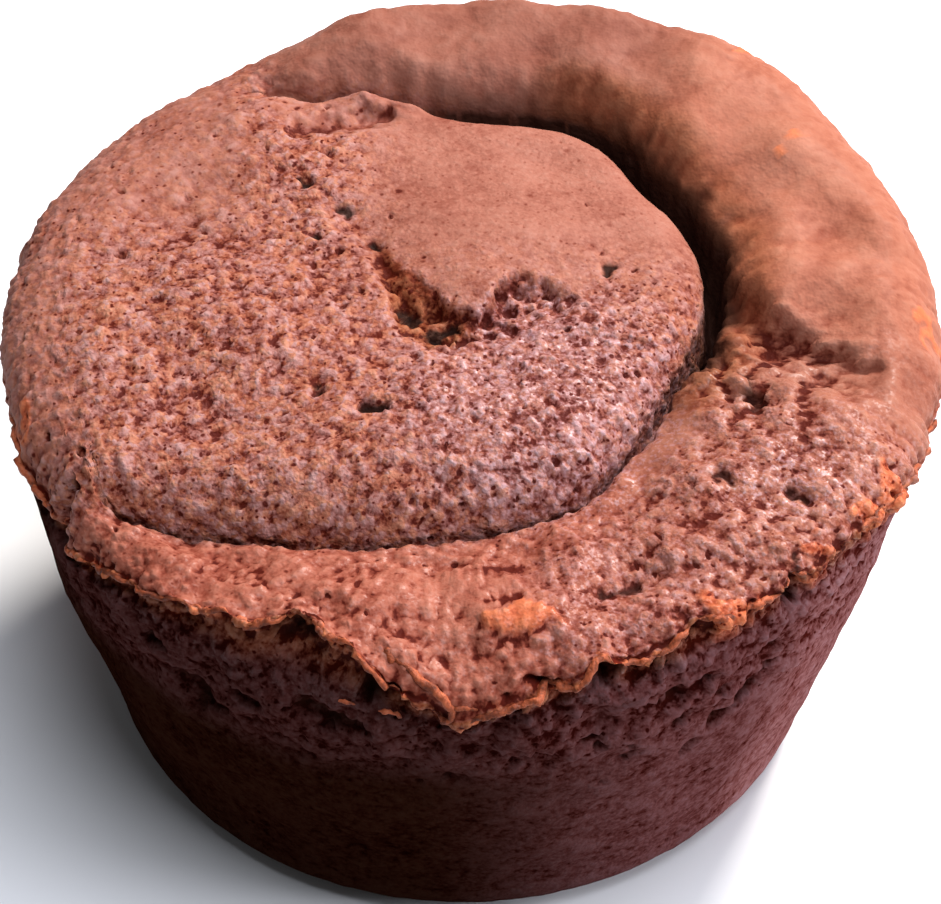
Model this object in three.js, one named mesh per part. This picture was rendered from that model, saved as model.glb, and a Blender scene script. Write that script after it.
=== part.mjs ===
// A small chocolate lava cake, turned out of its tin and standing on its flat base.
//
// It is one solid of baked crumb: a round tapered body whose top rose unevenly. On most of the
// top sits a low dome. A deep crack runs round the dome's back and right side, and past it the
// crust stands up as a high rolled collar. At the front the crack closes to a crease and the
// collar flattens to a ledge with a torn, frilled edge. On the left there is no crack: the dome
// runs straight out over the rim. A small crater is broken into the middle of the dome.
//
// Millimetres, +Z up, the middle of the flat base at the origin. Azimuths are in degrees,
// counter-clockwise seen from above: 0 is the right side, 90 the back, 270 the front.
import * as THREE from 'three';

// ---- main sizes -------------------------------------------------------------------------
const BASE_RADIUS = 28.0;      // radius of the body just above its rounded bottom corner
const CORNER = 4.2;            // rounding between the flat base and the wall
const FLARE = 0.2285;          // how much the wall widens for each millimetre it rises
const BULGE = 0.45;            // how far the wall swells out half way up
const BULGE_SPAN = [6, 30.5];  // heights between which it swells
const BASE_SHIFT = -0.2;       // the base sits a little to the left of the top
const LEAN_HEIGHT = 33;        // height over which that shift fades out
const DOME_HEIGHT = 38.7;      // top of the dome above the base
const DOME_FALL = 1.0;         // how much lower the dome is 30 mm from its middle
const DOME_FALL_RADIUS = 30;
const DOME_TILT = 0.02;        // the dome climbs towards the back, for each millimetre
const CRUST_THICKNESS = 0.9;   // thickness of the frilled crust where it overhangs the wall

// ---- sizes that change round the cake: [azimuth, value] -----------------------------------
// radius and height of the rim, where the crust turns down into the wall
const RIM_RADIUS = [[0, 35.5], [14, 35.8], [30, 35.6], [42, 35.8], [52, 35.4], [65, 34.8], [90, 34.5],
  [112, 34.5], [124, 34.9], [135, 35.2], [170, 35.2], [185, 34.4], [203, 33.7], [230, 33.3],
  [245, 32.5], [255, 32.7], [268, 33.8], [282, 33.6], [292, 33.1], [305, 33.5], [320, 34.2], [340, 35.1]];
const RIM_HEIGHT = [[0, 33.6], [20, 34.6], [45, 37], [70, 36.5], [95, 36], [112, 34.6], [135, 33.6],
  [165, 33], [205, 32.4], [230, 33.2], [245, 34.4], [255, 34.4], [268, 31.5], [282, 32.3],
  [292, 34], [320, 33.8], [340, 33.4]];
// the crack round the dome: its middle line, its width and its depth below the dome's edge
const CRACK_RADIUS = [[0, 18.5], [18, 20.2], [32, 20.6], [46, 20.6], [58, 22.2], [68, 23.2], [90, 23.1],
  [106, 23.8], [116, 24.2], [128, 27.6], [150, 30], [190, 30.8], [204, 32], [211, 32.3], [219, 29.7],
  [233, 25.4], [247, 22.6], [267, 20.1], [288, 19.2], [299, 18.8], [308, 17.7], [325, 16.8], [340, 16.7]];
const CRACK_WIDTH = [[0, 1.9], [20, 2.2], [45, 2.4], [65, 3], [90, 3], [105, 2.2], [117, 1.8], [126, 0.8],
  [165, 0.8], [203, 0.8], [225, 0.7], [270, 0.6], [308, 0.6], [325, 0.8], [345, 1.2]];
const CRACK_DEPTH = [[0, 4.5], [20, 5], [45, 4.6], [65, 4.6], [90, 3.6], [105, 2.8], [117, 2.2], [126, 0],
  [165, 0], [203, 0], [214, 0.9], [225, 1], [250, 0.8], [290, 0.8], [308, 1], [325, 1.3], [345, 2.3]];
// the dome's shoulder beside the crack: how wide it curves and how far it drops
const SHOULDER_WIDTH = [[0, 4.2], [30, 3.8], [60, 3.5], [90, 3.5], [117, 4], [130, 8], [165, 10], [203, 9],
  [215, 7], [240, 6.5], [270, 6], [300, 5.5], [330, 5]];
const SHOULDER_DROP = [[0, 2.5], [30, 2], [60, 1.6], [90, 1.6], [128, 1.2], [205, 2.2], [217, 3.2],
  [225, 3.7], [240, 4.1], [270, 4.2], [300, 3.9], [330, 3.2]];
// the collar outside the crack: its inner edge against the dome's edge, its rise from there to
// the crest, where the crest lies between crack (0) and rim (1), and how square its outside is
const COLLAR_STEP = [[0, -1], [20, -0.6], [45, -1], [90, -0.6], [117, -0.3], [126, 0], [203, 0],
  [215, 0.2], [240, 0.3], [300, 0.35], [330, 0.2]];
const COLLAR_RISE = [[0, 3], [15, 3.4], [30, 3.8], [37, 4.4], [46, 5.5], [60, 5.3], [75, 4.8], [102, 4.4],
  [109, 3.6], [116, 2.4], [127, 1], [165, 0], [203, 0], [225, 0.7], [245, 1.1],
  [268, 0.3], [282, 0.4], [300, 1.1], [320, 1.9], [340, 2.6]];
const COLLAR_CREST = [[0, 0.68], [45, 0.7], [90, 0.72], [105, 0.66], [118, 0.4], [128, 0.1], [165, 0.05],
  [203, 0.08], [215, 0.4], [240, 0.35], [270, 0.25], [300, 0.4], [320, 0.5], [340, 0.62]];
const COLLAR_SQUARE = [[0, 2], [90, 2], [180, 2], [205, 2.2], [230, 2.8], [270, 3], [310, 2.6], [340, 2.1]];
// where the crack is open (1), and where the dome runs out over the rim instead (0)
const CRACK_OPEN = [[0, 1], [60, 1], [115, 1], [129, 0], [165, 0], [206, 0], [214, 1], [300, 1]];
const OVER_SQUARE = 3;         // how full the dome's edge is where it runs out over the rim
const OVER_SHARE = { shoulder: [0, 0.45], crack: [0.45, 0.5], inner: [0.5, 0.62], outer: [0.62, 1] };
// how far the thin edge of the crust hangs out over the wall, and where the wall begins below it
const FRILL_REACH = [[0, 0.2], [30, 0.1], [60, 0.2], [90, 0], [165, 0], [190, 0.1], [203, 0.5], [235, 0.3],
  [250, 0.5], [262, 0.8], [275, 0.9], [290, 0.8], [300, 0.5], [315, 0.6], [335, 0.4]];
const WALL_TOP = [[0, 31], [45, 32], [90, 32], [135, 31], [180, 30.5], [215, 30.8], [230, 30.6], [245, 28.8],
  [258, 28.4], [268, 28.6], [282, 29.4], [292, 30.2], [320, 30.6]];

// ---- the crater: its ragged back edge in plan, and its depth ------------------------------
const CRATER_EDGE = [[-7, 7.4], [-5.3, 4.4], [-4, 2.9], [-2.6, 1.2], [-1.1, -0.8], [0.5, -1.8], [1.3, -1.2],
  [1.9, 0], [3, 1.7], [5, 2.1], [7, 1.6], [8.6, 0.4]];
const CRATER_DEPTH = 1.5;
const CRATER_LENGTH = 5.2;     // how far in front of the edge the crater's floor is back at the surface
const NOSE = { x: 0.6, y: 0.6, radius: 4.5, height: 0.5 };   // the skin stands up behind the edge

// ---- ridges (+) and hollows (-) on the top: a soft stroke from a to b in plan ----------------
const STROKES = [
  // the pitted line that runs from the crater up to the left, and the larger pits in the dome
  { a: [-6.2, 5.8], b: [-7.6, 7.8], wide: 1.1, high: -0.7 },
  { a: [-8.8, 9.6], b: [-9.8, 11], wide: 1.2, high: -0.9 },
  { a: [-11.1, 11.9], b: [-12.8, 13.6], wide: 1.1, high: -0.6 },
  { a: [10.4, 2.8], b: [10.9, 4.2], wide: 1.0, high: -0.6 },
  { a: [-10.6, -8.8], b: [-10.6, -9.8], wide: 0.9, high: -0.7 },
  { a: [-7.4, -10.5], b: [-5.9, -11.2], wide: 0.9, high: -0.8 },
  // the low folds that cross the dome's left side
  { a: [-22, 3], b: [-15, -5], wide: 4, high: 0.5 },
  { a: [-19, 12], b: [-24, 2], wide: 3, high: -0.35 },
  // the tongue of crust that lies in the crack's left end, and the groove above it
  { a: [-4, 23.4], b: [-13, 24.6], wide: 1.6, high: 0.8 },
  { a: [-3, 27], b: [-10, 27.6], wide: 1.5, high: -0.9 },
  { a: [-12.8, 19.8], b: [-11, 21.2], wide: 1.2, high: -0.9 },
  // lobes and hollows of the collar on the right
  { a: [20.8, 4.6], b: [26.5, 1.6], wide: 2.6, high: 0.8 },
  { a: [20.8, -1.6], b: [25.2, -3.9], wide: 2.0, high: -1.1 },
  { a: [21, 10], b: [25, 8.6], wide: 1.5, high: -0.8 },
  { a: [24.3, 11.8], b: [27.1, 8], wide: 1.5, high: -0.5 },
  { a: [28.9, 7], b: [31.2, 4.8], wide: 1.4, high: -0.4 },
  { a: [27.6, -4.1], b: [30.2, -5.5], wide: 1.1, high: -0.8 },
  { a: [20.4, -6.6], b: [21.4, -10.4], wide: 1.2, high: -0.8 },
  // knobs and furrows of the ledge at the front and front right
  { a: [17.6, -16], b: [19, -17.4], wide: 1.3, high: -0.6 },
  { a: [23.3, -17.8], b: [24.4, -19], wide: 1.3, high: -0.6 },
  { a: [8.6, -26.6], b: [14, -24.4], wide: 1.2, high: -0.7 },
  { a: [2, -28.4], b: [5.8, -28.8], wide: 1.8, high: 0.6 },
  { a: [-9.5, -25.8], b: [-4, -27.4], wide: 1.8, high: 0.5 },
  { a: [-5.2, -30.8], b: [-2.4, -32.8], wide: 1.2, high: 0.7 },
  { a: [-20, -21], b: [-15, -24], wide: 1.8, high: -0.5 },
];

// ---- hollows in the wall and under the frill: a stroke from a to b, each [azimuth, height] -----
const GASHES = [
  { a: [304, 22.4], b: [311, 25.4], wide: 0.9, deep: 1.2 },
  { a: [298, 19.8], b: [303, 22], wide: 0.8, deep: 0.8 },
  { a: [309, 28.6], b: [313, 29.2], wide: 0.9, deep: 0.9 },
  { a: [293, 27.8], b: [297, 28.6], wide: 0.9, deep: 0.7 },
  { a: [246, 34.2], b: [249, 34], wide: 0.9, deep: 1.2 },
  { a: [259, 31.8], b: [262, 31.2], wide: 1.1, deep: 1.7 },
  { a: [278, 33], b: [280, 32.8], wide: 1.0, deep: 1.6 },
  { a: [287, 32.4], b: [290, 32.9], wide: 0.9, deep: 1.4 },
  { a: [313, 34.6], b: [313.4, 32.6], wide: 0.7, deep: 1.2 },
  { a: [250, 28.6], b: [257, 27.2], wide: 1.0, deep: 0.8 },
  { a: [232, 25.6], b: [238, 24.4], wide: 1.2, deep: 0.7 },
  { a: [213, 34.4], b: [216, 34], wide: 0.8, deep: 1.3 },
];
const WALL_ARC_RADIUS = 33;    // radius used to measure arc lengths along the wall

// ---- unevenness: [height of the waves, wavelength, seed] ------------------------------------
const DOME_WAVES = [[0.32, 17, 1], [0.12, 6, 2]];
const COLLAR_WAVES = [[0.4, 11, 3], [0.25, 6, 4]];
const RIM_WAVES = [[0.4, 9, 5], [0.35, 4.2, 6]];
const RIM_RAGGED = [[0, 0.3], [60, 0.15], [110, 0.15], [180, 0.25], [205, 0.7], [235, 1], [300, 1],
  [335, 0.6]];
const WALL_WAVES = [[0.2, 13, 7], [0.1, 5, 8]];
const CRUMBLE_WAVES = [[0.35, 4.6, 9]];        // the torn band of wall under the frill
const CRUMBLE_BAND = [22, 31];                 // heights where that band lies
const CRUMBLE_ARC = [215, 325];                // azimuths where that band lies

// ---- small helpers ---------------------------------------------------------------------------
const DEG = Math.PI / 180;
const clamp = (v, lo, hi) => Math.min(hi, Math.max(lo, v));
const mix = (a, b, t) => a + (b - a) * t;
function smooth(a, b, v) {
  const t = clamp((v - a) / (b - a), 0, 1);
  return t * t * (3 - 2 * t);
}

// a smooth curve through stations; with a period it runs round and meets itself
function through(at, stations, period = 0) {
  const count = stations.length;
  const station = (i) => {
    if (!period) return stations[clamp(i, 0, count - 1)];
    const turn = Math.floor(i / count);
    const [place, value] = stations[i - turn * count];
    return [place + turn * period, value];
  };
  const t = period ? ((at % period) + period) % period : clamp(at, stations[0][0], stations[count - 1][0]);
  let i = -1;
  while (i < count - 1 && stations[i + 1][0] <= t) i += 1;
  if (!period) i = clamp(i, 0, count - 2);
  const [before, from, to, after] = [i - 1, i, i + 1, i + 2].map(station);
  const gap = to[0] - from[0];
  const slope = (a, b) => (b[0] > a[0] ? ((b[1] - a[1]) / (b[0] - a[0])) * gap : 0);
  const u = (t - from[0]) / gap;
  const ease = u * u * (3 - 2 * u);
  const leave = u * (1 - u) * (1 - u) * slope(before, to);
  const arrive = u * u * (1 - u) * slope(from, after);
  return mix(from[1], to[1], ease) + leave - arrive;
}
const round = (azimuth, stations) => through(azimuth, stations, 360);

// a repeatable soft unevenness of about -1 to 1: plane waves in evenly spread directions
function swell(x, y, z, wavelength, seed) {
  const WAVES = 7;
  const golden = Math.PI * (3 - Math.sqrt(5));
  let sum = 0;
  for (let k = 0; k < WAVES; k += 1) {
    const up = 1 - (2 * k + 1) / WAVES;
    const flat = Math.sqrt(1 - up * up);
    const turn = golden * k + seed * 1.7;
    const rate = (2 * Math.PI / wavelength) * (0.8 + 0.4 * ((k * 0.618 + seed * 0.37) % 1));
    const along = flat * Math.cos(turn) * x + flat * Math.sin(turn) * y + up * z;
    sum += Math.sin(rate * along + seed * 2.3 + k * 1.9);
  }
  return sum / Math.sqrt(WAVES) / 1.2;
}
function waves(list, x, y, z) {
  return list.reduce((sum, [high, length, seed]) => sum + high * swell(x, y, z, length, seed), 0);
}

// how strongly a point is under a stroke: 1 on its line, fading over its width
function underStroke(px, py, ax, ay, bx, by, wide) {
  const dx = bx - ax;
  const dy = by - ay;
  const t = clamp(((px - ax) * dx + (py - ay) * dy) / (dx * dx + dy * dy), 0, 1);
  const away = Math.hypot(px - ax - t * dx, py - ay - t * dy);
  return Math.exp(-((away / wide) ** 2));
}

// ---- the top --------------------------------------------------------------------------------
function craterDepth(x, y) {
  const front = through(x, CRATER_EDGE) - y;
  const ends = smooth(-7, -4, x) * (1 - smooth(6.5, 9, x));
  return CRATER_DEPTH * ends * smooth(-0.4, 0.9, front) * (1 - smooth(0.8, CRATER_LENGTH, front));
}

function topRelief(x, y) {
  let high = -craterDepth(x, y);
  const nose = Math.exp(-(((x - NOSE.x) ** 2 + (y - NOSE.y) ** 2) / NOSE.radius ** 2));
  high += NOSE.height * nose * smooth(-0.4, 0.9, y - through(x, CRATER_EDGE));
  for (const s of STROKES) high += s.high * underStroke(x, y, s.a[0], s.a[1], s.b[0], s.b[1], s.wide);
  return high;
}

function domeHeight(x, y) {
  return DOME_HEIGHT - (DOME_FALL * (x * x + y * y)) / DOME_FALL_RADIUS ** 2 + DOME_TILT * y;
}

// ---- the wall -------------------------------------------------------------------------------
function wallRadius(z) {
  const up = clamp((z - BULGE_SPAN[0]) / (BULGE_SPAN[1] - BULGE_SPAN[0]), 0, 1);
  return BASE_RADIUS + (z - CORNER) * FLARE + BULGE * Math.sin(Math.PI * up);
}

function wallRelief(azimuth, z) {
  let deep = 0;
  for (const g of GASHES) {
    const arc = (a) => (a - azimuth) * DEG * WALL_ARC_RADIUS;
    if (Math.abs(arc(g.a[0])) > 12) continue;
    deep += g.deep * underStroke(0, z, arc(g.a[0]), g.a[1], arc(g.b[0]), g.b[1], g.wide);
  }
  return -deep;
}

function crumble(azimuth, x, y, z) {
  const [low, high] = CRUMBLE_BAND;
  const [start, end] = CRUMBLE_ARC;
  const band = smooth(low, low + 4, z) * (1 - smooth(high, high + 3, z));
  const arc = smooth(start, start + 20, azimuth) * (1 - smooth(end, end + 15, azimuth));
  return band * arc * waves(CRUMBLE_WAVES, x, y, z);
}

// ---- one slice of the cake from the middle of the top to the middle of the base ------------------
// zones of the slice, in order, with the number of rows each has in the mesh
const ZONES = [['dome', 16], ['shoulder', 6], ['crack', 4], ['inner', 5], ['outer', 6], ['frill', 3],
  ['under', 3], ['wall', 8], ['corner', 3], ['base', 1]];

function slicePoint(azimuth, zone, t) {
  const cos = Math.cos(azimuth * DEG);
  const sin = Math.sin(azimuth * DEG);
  const ragged = round(azimuth, RIM_RAGGED);
  const rimR = round(azimuth, RIM_RADIUS) + ragged * waves(RIM_WAVES, 40 * cos, 40 * sin, 0);
  const rimZ = round(azimuth, RIM_HEIGHT) + ragged * waves(RIM_WAVES, 40 * cos, 40 * sin, 30);
  const width = round(azimuth, CRACK_WIDTH);
  const crackR = round(azimuth, CRACK_RADIUS);
  const inR = crackR - width / 2;
  const outR = Math.min(crackR + width / 2, rimR - 0.8);
  const shoulder = round(azimuth, SHOULDER_WIDTH);
  const drop = Math.max(0, round(azimuth, SHOULDER_DROP));
  const inZ = domeHeight(inR * cos, inR * sin) - drop;
  const outZ = inZ + round(azimuth, COLLAR_STEP);
  const depth = Math.max(0, round(azimuth, CRACK_DEPTH));
  const crestR = mix(outR, rimR, clamp(round(azimuth, COLLAR_CREST), 0.05, 0.9));
  const crestZ = outZ + Math.max(0, round(azimuth, COLLAR_RISE));
  const square = 2 / round(azimuth, COLLAR_SQUARE);
  const reach = Math.max(0, round(azimuth, FRILL_REACH));
  const lipR = rimR - 0.8 * reach;
  const lipZ = rimZ - CRUST_THICKNESS * (0.4 + reach);
  const wallTop = round(azimuth, WALL_TOP);
  const turn = t * Math.PI / 2;
  const open = clamp(round(azimuth, CRACK_OPEN), 0, 1);
  let r;
  let z;
  if (zone === 'dome') {
    r = t * (inR - shoulder);
    z = domeHeight(r * cos, r * sin);
  } else if (zone === 'shoulder') {
    r = inR - shoulder + shoulder * Math.sin(turn);
    z = domeHeight(r * cos, r * sin) - drop * (1 - Math.cos(turn));
  } else if (zone === 'crack') {
    const valley = Math.sin(Math.PI * t) ** 0.6;
    r = mix(inR, outR, t);
    z = mix(mix(inZ, outZ, t), Math.min(inZ, outZ) - depth, valley);
  } else if (zone === 'inner') {
    const across = t ** 1.5;
    r = mix(outR, crestR, across);
    z = outZ + (crestZ - outZ) * Math.sqrt(1 - (1 - across) ** 2);
  } else if (zone === 'outer') {
    r = crestR + (rimR - crestR) * Math.sin(turn) ** square;
    z = rimZ + (crestZ - rimZ) * Math.cos(turn) ** square;
  } else if (zone === 'frill') {
    r = rimR + reach * Math.sin(2 * turn) ** 0.7 - 0.8 * reach * t;
    z = mix(rimZ, lipZ, (1 - Math.cos(2 * turn)) / 2);
  } else if (zone === 'under') {
    r = mix(lipR, wallRadius(wallTop), smooth(0, 1, t));
    z = mix(lipZ, wallTop, t);
  } else if (zone === 'wall') {
    z = mix(wallTop, CORNER, t);
    r = wallRadius(z);
  } else if (zone === 'corner') {
    r = BASE_RADIUS - CORNER * (1 - Math.cos(turn));
    z = CORNER * (1 - Math.sin(turn));
  } else {
    r = (BASE_RADIUS - CORNER) * (1 - t);
    z = 0;
  }
  if (OVER_SHARE[zone] && open < 1) {
    const over = mix(OVER_SHARE[zone][0], OVER_SHARE[zone][1], t) * Math.PI / 2;
    const startR = inR - shoulder;
    const startZ = domeHeight(startR * cos, startR * sin);
    r = mix(mix(startR, rimR, Math.sin(over)), r, open);
    z = mix(mix(rimZ, startZ, (1 - Math.sin(over) ** OVER_SQUARE) ** (1 / OVER_SQUARE)), z, open);
  }
  const x = r * cos;
  const y = r * sin;
  const domeWaves = waves(DOME_WAVES, x, y, 0);
  if (zone === 'dome' || zone === 'shoulder') {
    z += domeWaves * smooth(-1, 3, inR - r) + topRelief(x, y);
  } else if (zone === 'crack') {
    z += domeWaves * smooth(-1, 3, 0) + topRelief(x, y);
  } else if (zone === 'inner' || zone === 'outer') {
    const away = open * smooth(0, 3, r - outR) * smooth(0, 2.5, rimR - r);
    z += (domeWaves * smooth(-1, 3, 0) + topRelief(x, y)) * smooth(0, 2, rimR - r);
    z += waves(COLLAR_WAVES, x, y, 0) * away;
  }
  if (['outer', 'frill', 'under', 'wall'].includes(zone)) {
    const uneven = zone === 'wall' || zone === 'under' ? waves(WALL_WAVES, x, y, z) : 0;
    r += (wallRelief(azimuth, z) + crumble(azimuth, x, y, z) + uneven) * smooth(CORNER, CORNER + 4, z);
  }
  const shift = BASE_SHIFT * (1 - clamp(z / LEAN_HEIGHT, 0, 1));
  return [r * cos + shift, r * sin, z];
}

// ---- the closed body: rings of points, each with as many as its size needs -----------------------
const DOME_CELL = 1.15;        // spacing of the points on the dome, in millimetres
const DOME_RING_RADIUS = 17;   // radius of the dome's outermost ring, for counting its points
const RING_POINTS = {
  shoulder: 120, crack: 144, inner: 144, outer: 150, frill: 150, under: 120, wall: 96, corner: 80, base: 80,
};

function ringCount(zone, t) {
  if (zone === 'dome' && t === 0) return 1;
  if (zone === 'base' && t === 1) return 1;
  if (zone === 'dome') return Math.max(6, Math.round((2 * Math.PI * t * DOME_RING_RADIUS) / DOME_CELL));
  return RING_POINTS[zone];
}

// joins two rings, always stepping along the one whose next point comes first
function joinRings(inner, outer, triangles) {
  const azimuthOf = (ring, i) => ring[i % ring.length].azimuth + 360 * Math.floor(i / ring.length);
  const innerSteps = inner.length > 1 ? inner.length : 0;
  const outerSteps = outer.length > 1 ? outer.length : 0;
  let i = 0;
  let j = 0;
  while (i < innerSteps || j < outerSteps) {
    const a = inner[i % inner.length].index;
    const b = outer[j % outer.length].index;
    const outerFirst = j < outerSteps && azimuthOf(outer, j + 1) <= azimuthOf(inner, i + 1);
    if (i === innerSteps || outerFirst) {
      j += 1;
      triangles.push(a, b, outer[j % outer.length].index);
    } else {
      i += 1;
      triangles.push(a, b, inner[i % inner.length].index);
    }
  }
}

function makeCake() {
  const positions = [];
  const rings = [];
  const addRing = (zone, t) => {
    const count = ringCount(zone, t);
    const stagger = count > 1 ? (rings.length % 2) / 2 : 0;
    const ring = [];
    for (let i = 0; i < count; i += 1) {
      const azimuth = (360 * (i + stagger)) / count;
      ring.push({ azimuth, index: positions.length / 3 });
      positions.push(...slicePoint(azimuth, zone, t));
    }
    rings.push(ring);
  };
  for (const [zone, rows] of ZONES) {
    for (let row = 0; row < rows; row += 1) addRing(zone, row / rows);
  }
  addRing('base', 1);

  const triangles = [];
  for (let k = 0; k + 1 < rings.length; k += 1) joinRings(rings[k], rings[k + 1], triangles);
  const geometry = new THREE.BufferGeometry();
  geometry.setAttribute('position', new THREE.Float32BufferAttribute(positions, 3));
  geometry.setIndex(triangles);
  geometry.computeVertexNormals();
  return geometry;
}

// ---- the scene graph -----------------------------------------------------------------------
const crumb = new THREE.MeshStandardMaterial({ color: 0x7a4434, roughness: 0.75, metalness: 0 });
crumb.name = 'cake';
const cake = new THREE.Mesh(makeCake(), crumb);
cake.name = 'cake';

const lavaCake = new THREE.Group();
lavaCake.name = 'lava_cake';
lavaCake.add(cake);
export default lavaCake;
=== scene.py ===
# %% [markdown]
# # A small chocolate lava cake
# The real thing is one piece of baked batter, turned out of a small tin. Its top rose
# unevenly: a low dome in the middle, a deep crack behind it and on its right, and past the
# crack a high rolled collar of crust. In front the crack closes to a crease, and the collar
# flattens to a ledge with a torn, frilled edge.
#
# The solid of the cake comes from the frame. This script dresses it: the same form is made
# again much finer and gets its crumb and pores from Geometry Nodes. Thin strands of torn crust
# are laid along its edge, and the three materials are built from nodes.

import math

import bpy
import numpy as np
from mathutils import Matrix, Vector


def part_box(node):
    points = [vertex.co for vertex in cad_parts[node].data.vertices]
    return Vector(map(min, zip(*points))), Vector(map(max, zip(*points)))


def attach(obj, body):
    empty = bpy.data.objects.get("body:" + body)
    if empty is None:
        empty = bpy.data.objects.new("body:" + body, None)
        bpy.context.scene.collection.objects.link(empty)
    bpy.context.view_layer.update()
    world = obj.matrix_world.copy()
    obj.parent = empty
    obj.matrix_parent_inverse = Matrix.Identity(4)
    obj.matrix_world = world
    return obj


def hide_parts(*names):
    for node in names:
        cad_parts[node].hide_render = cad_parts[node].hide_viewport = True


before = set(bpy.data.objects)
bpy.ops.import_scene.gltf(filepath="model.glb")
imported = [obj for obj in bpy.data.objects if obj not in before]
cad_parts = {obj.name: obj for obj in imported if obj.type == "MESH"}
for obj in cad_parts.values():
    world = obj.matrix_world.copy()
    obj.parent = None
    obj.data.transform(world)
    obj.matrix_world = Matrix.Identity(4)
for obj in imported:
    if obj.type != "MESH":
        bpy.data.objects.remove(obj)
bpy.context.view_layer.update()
CAKE_LOW, CAKE_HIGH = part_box("cake")
MM = 0.001                     # one millimetre in metres
print("cake box in mm:", [round(v / MM, 1) for v in CAKE_LOW], [round(v / MM, 1) for v in CAKE_HIGH])


def new_object(name, data):
    """An object at the origin with this data, linked to the scene."""
    made = bpy.data.objects.new(name, data)
    bpy.context.scene.collection.objects.link(made)
    return made


# %% [markdown]
# ## The camera
# The photograph looks down on the cake at about 45 degrees from close by, with a long lens.
# The distance and the focal length were found by matching the cake's outline. It is set up
# first, so that everything after it can be judged in the right view.

# %% Camera
CAMERA_ELEVATION = math.radians(45)
CAMERA_DISTANCE = 300 * MM
CAMERA_TARGET = Vector((0.38, 0, 22.7)) * MM
CAMERA_LENS = 149.5            # millimetres of focal length
SENSOR_WIDTH = 36              # millimetres

camera_data = bpy.data.cameras.new("camera")
camera_data.sensor_width = SENSOR_WIDTH
camera_data.lens = CAMERA_LENS
camera_data.clip_start = 10 * MM
camera = new_object("camera", camera_data)
view_back = Vector((0, -math.cos(CAMERA_ELEVATION), math.sin(CAMERA_ELEVATION)))
camera.location = CAMERA_TARGET + view_back * CAMERA_DISTANCE
camera.rotation_euler = view_back.to_track_quat("Z", "Y").to_euler()
bpy.context.scene.camera = camera
print("camera at mm:", [round(v / MM) for v in camera.location])

# %% [markdown]
# ## The sizes of the cake
# A cake like this is a body of revolution gone wrong: every radius and height changes as it
# goes round. So each size is a short list of stations, an azimuth in degrees and a value in
# millimetres, joined by a smooth closed curve. Azimuth 0 is the right side, 90 the back and
# 270 the front, where the camera stands.

# %% Sizes in millimetres
BASE_RADIUS = 28.0             # just above the rounded bottom corner
CORNER = 4.2                   # radius of the rounded bottom corner
FLARE = 0.2285                 # how much the wall widens for each millimetre it rises
BULGE = 0.45                   # how far the wall swells out halfway up
BULGE_SPAN = (6, 30.5)         # the heights between which it swells
BASE_SHIFT = -0.2              # how far the foot lies along x from the rim
LEAN_HEIGHT = 33               # the height at which that shift has gone
DOME_HEIGHT = 38.7
DOME_FALL = 1.0                # how much lower the dome is DOME_FALL_RADIUS from its middle
DOME_FALL_RADIUS = 30
DOME_TILT = 0.02               # how much the dome rises towards the back, for each millimetre
CRUST_THICKNESS = 0.9

RIM_RADIUS = [(0, 35.5), (14, 35.8), (30, 35.6), (42, 35.8), (52, 35.4), (65, 34.8), (90, 34.5),
              (112, 34.5), (124, 34.9), (135, 35.2), (170, 35.2), (185, 34.4), (203, 33.8), (216, 33.8),
              (229, 33.4), (235, 33), (241, 32.5), (244, 32.2), (247.7, 30.9), (250, 31), (253, 31.6),
              (256, 32.2), (259, 33.2), (261, 33.6), (265, 33.8), (269, 34.1), (274, 34), (281, 33.8),
              (284, 33.6), (286, 32.7), (288, 33.2), (291, 33.4), (296, 33.3), (299, 32.6), (302, 33.5),
              (306, 33.6), (310, 34), (312, 33.8), (316, 34.2), (324, 34.5), (333, 35)]
RIM_HEIGHT = [(0, 33.6), (20, 34.6), (45, 37), (70, 36.5), (95, 36), (112, 34.6), (135, 33.6), (165, 33),
              (207, 33), (212, 31.6), (216, 32.3), (222, 33.2), (229, 34.2), (235, 34.8), (243, 35.1),
              (247.7, 35.9), (250, 36.1), (253, 35.6), (256, 35.6), (259, 34.4), (261, 32.8), (265, 32.2),
              (269, 31.1), (274, 32.1), (281, 33), (284, 34), (286, 34.8), (288, 34.3), (291, 33.6),
              (294, 34.1), (297, 34.9), (299, 35.3), (303, 34.8), (311, 35.3), (316, 35.1), (324, 35.6),
              (334, 34.6)]
CRACK_RADIUS = [(0, 18.3), (18, 19.5), (32, 19.9), (46, 20.1), (58, 21.8), (68, 22.7), (90, 22.6),
                (98, 23.6), (106, 25.2), (112, 26.4), (118, 27), (128, 28.4), (150, 30), (190, 30.8),
                (204, 31.6), (209, 32.6), (212, 32.4), (219, 29.7), (233, 25.4), (247, 22.6), (267, 20.1),
                (288, 19.2), (299, 18.8), (308, 17.7), (325, 16.8), (340, 16.7)]
CRACK_WIDTH = [(0, 1.6), (20, 1.95), (45, 1.85), (65, 1.9), (90, 2), (98, 1.4), (105, 1.1), (117, 1.1),
               (126, 0.8), (165, 0.8), (203, 0.8), (225, 0.7), (270, 0.6), (308, 0.6), (325, 0.8),
               (345, 1.2)]
CRACK_DEPTH = [(0, 4.5), (20, 5), (45, 4.6), (65, 4.6), (90, 3.4), (98, 2.2), (106, 1.5), (117, 0.9),
               (126, 0), (165, 0), (211, 0), (217, 0.9), (225, 1), (250, 0.8), (290, 0.8), (308, 1),
               (325, 1.3), (345, 2.3)]
SHOULDER_WIDTH = [(0, 4.2), (30, 3.8), (60, 3.5), (90, 3.5), (117, 4), (130, 8), (165, 10), (203, 9),
                  (215, 7), (240, 6.5), (270, 6), (300, 5.5), (330, 5)]
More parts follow.
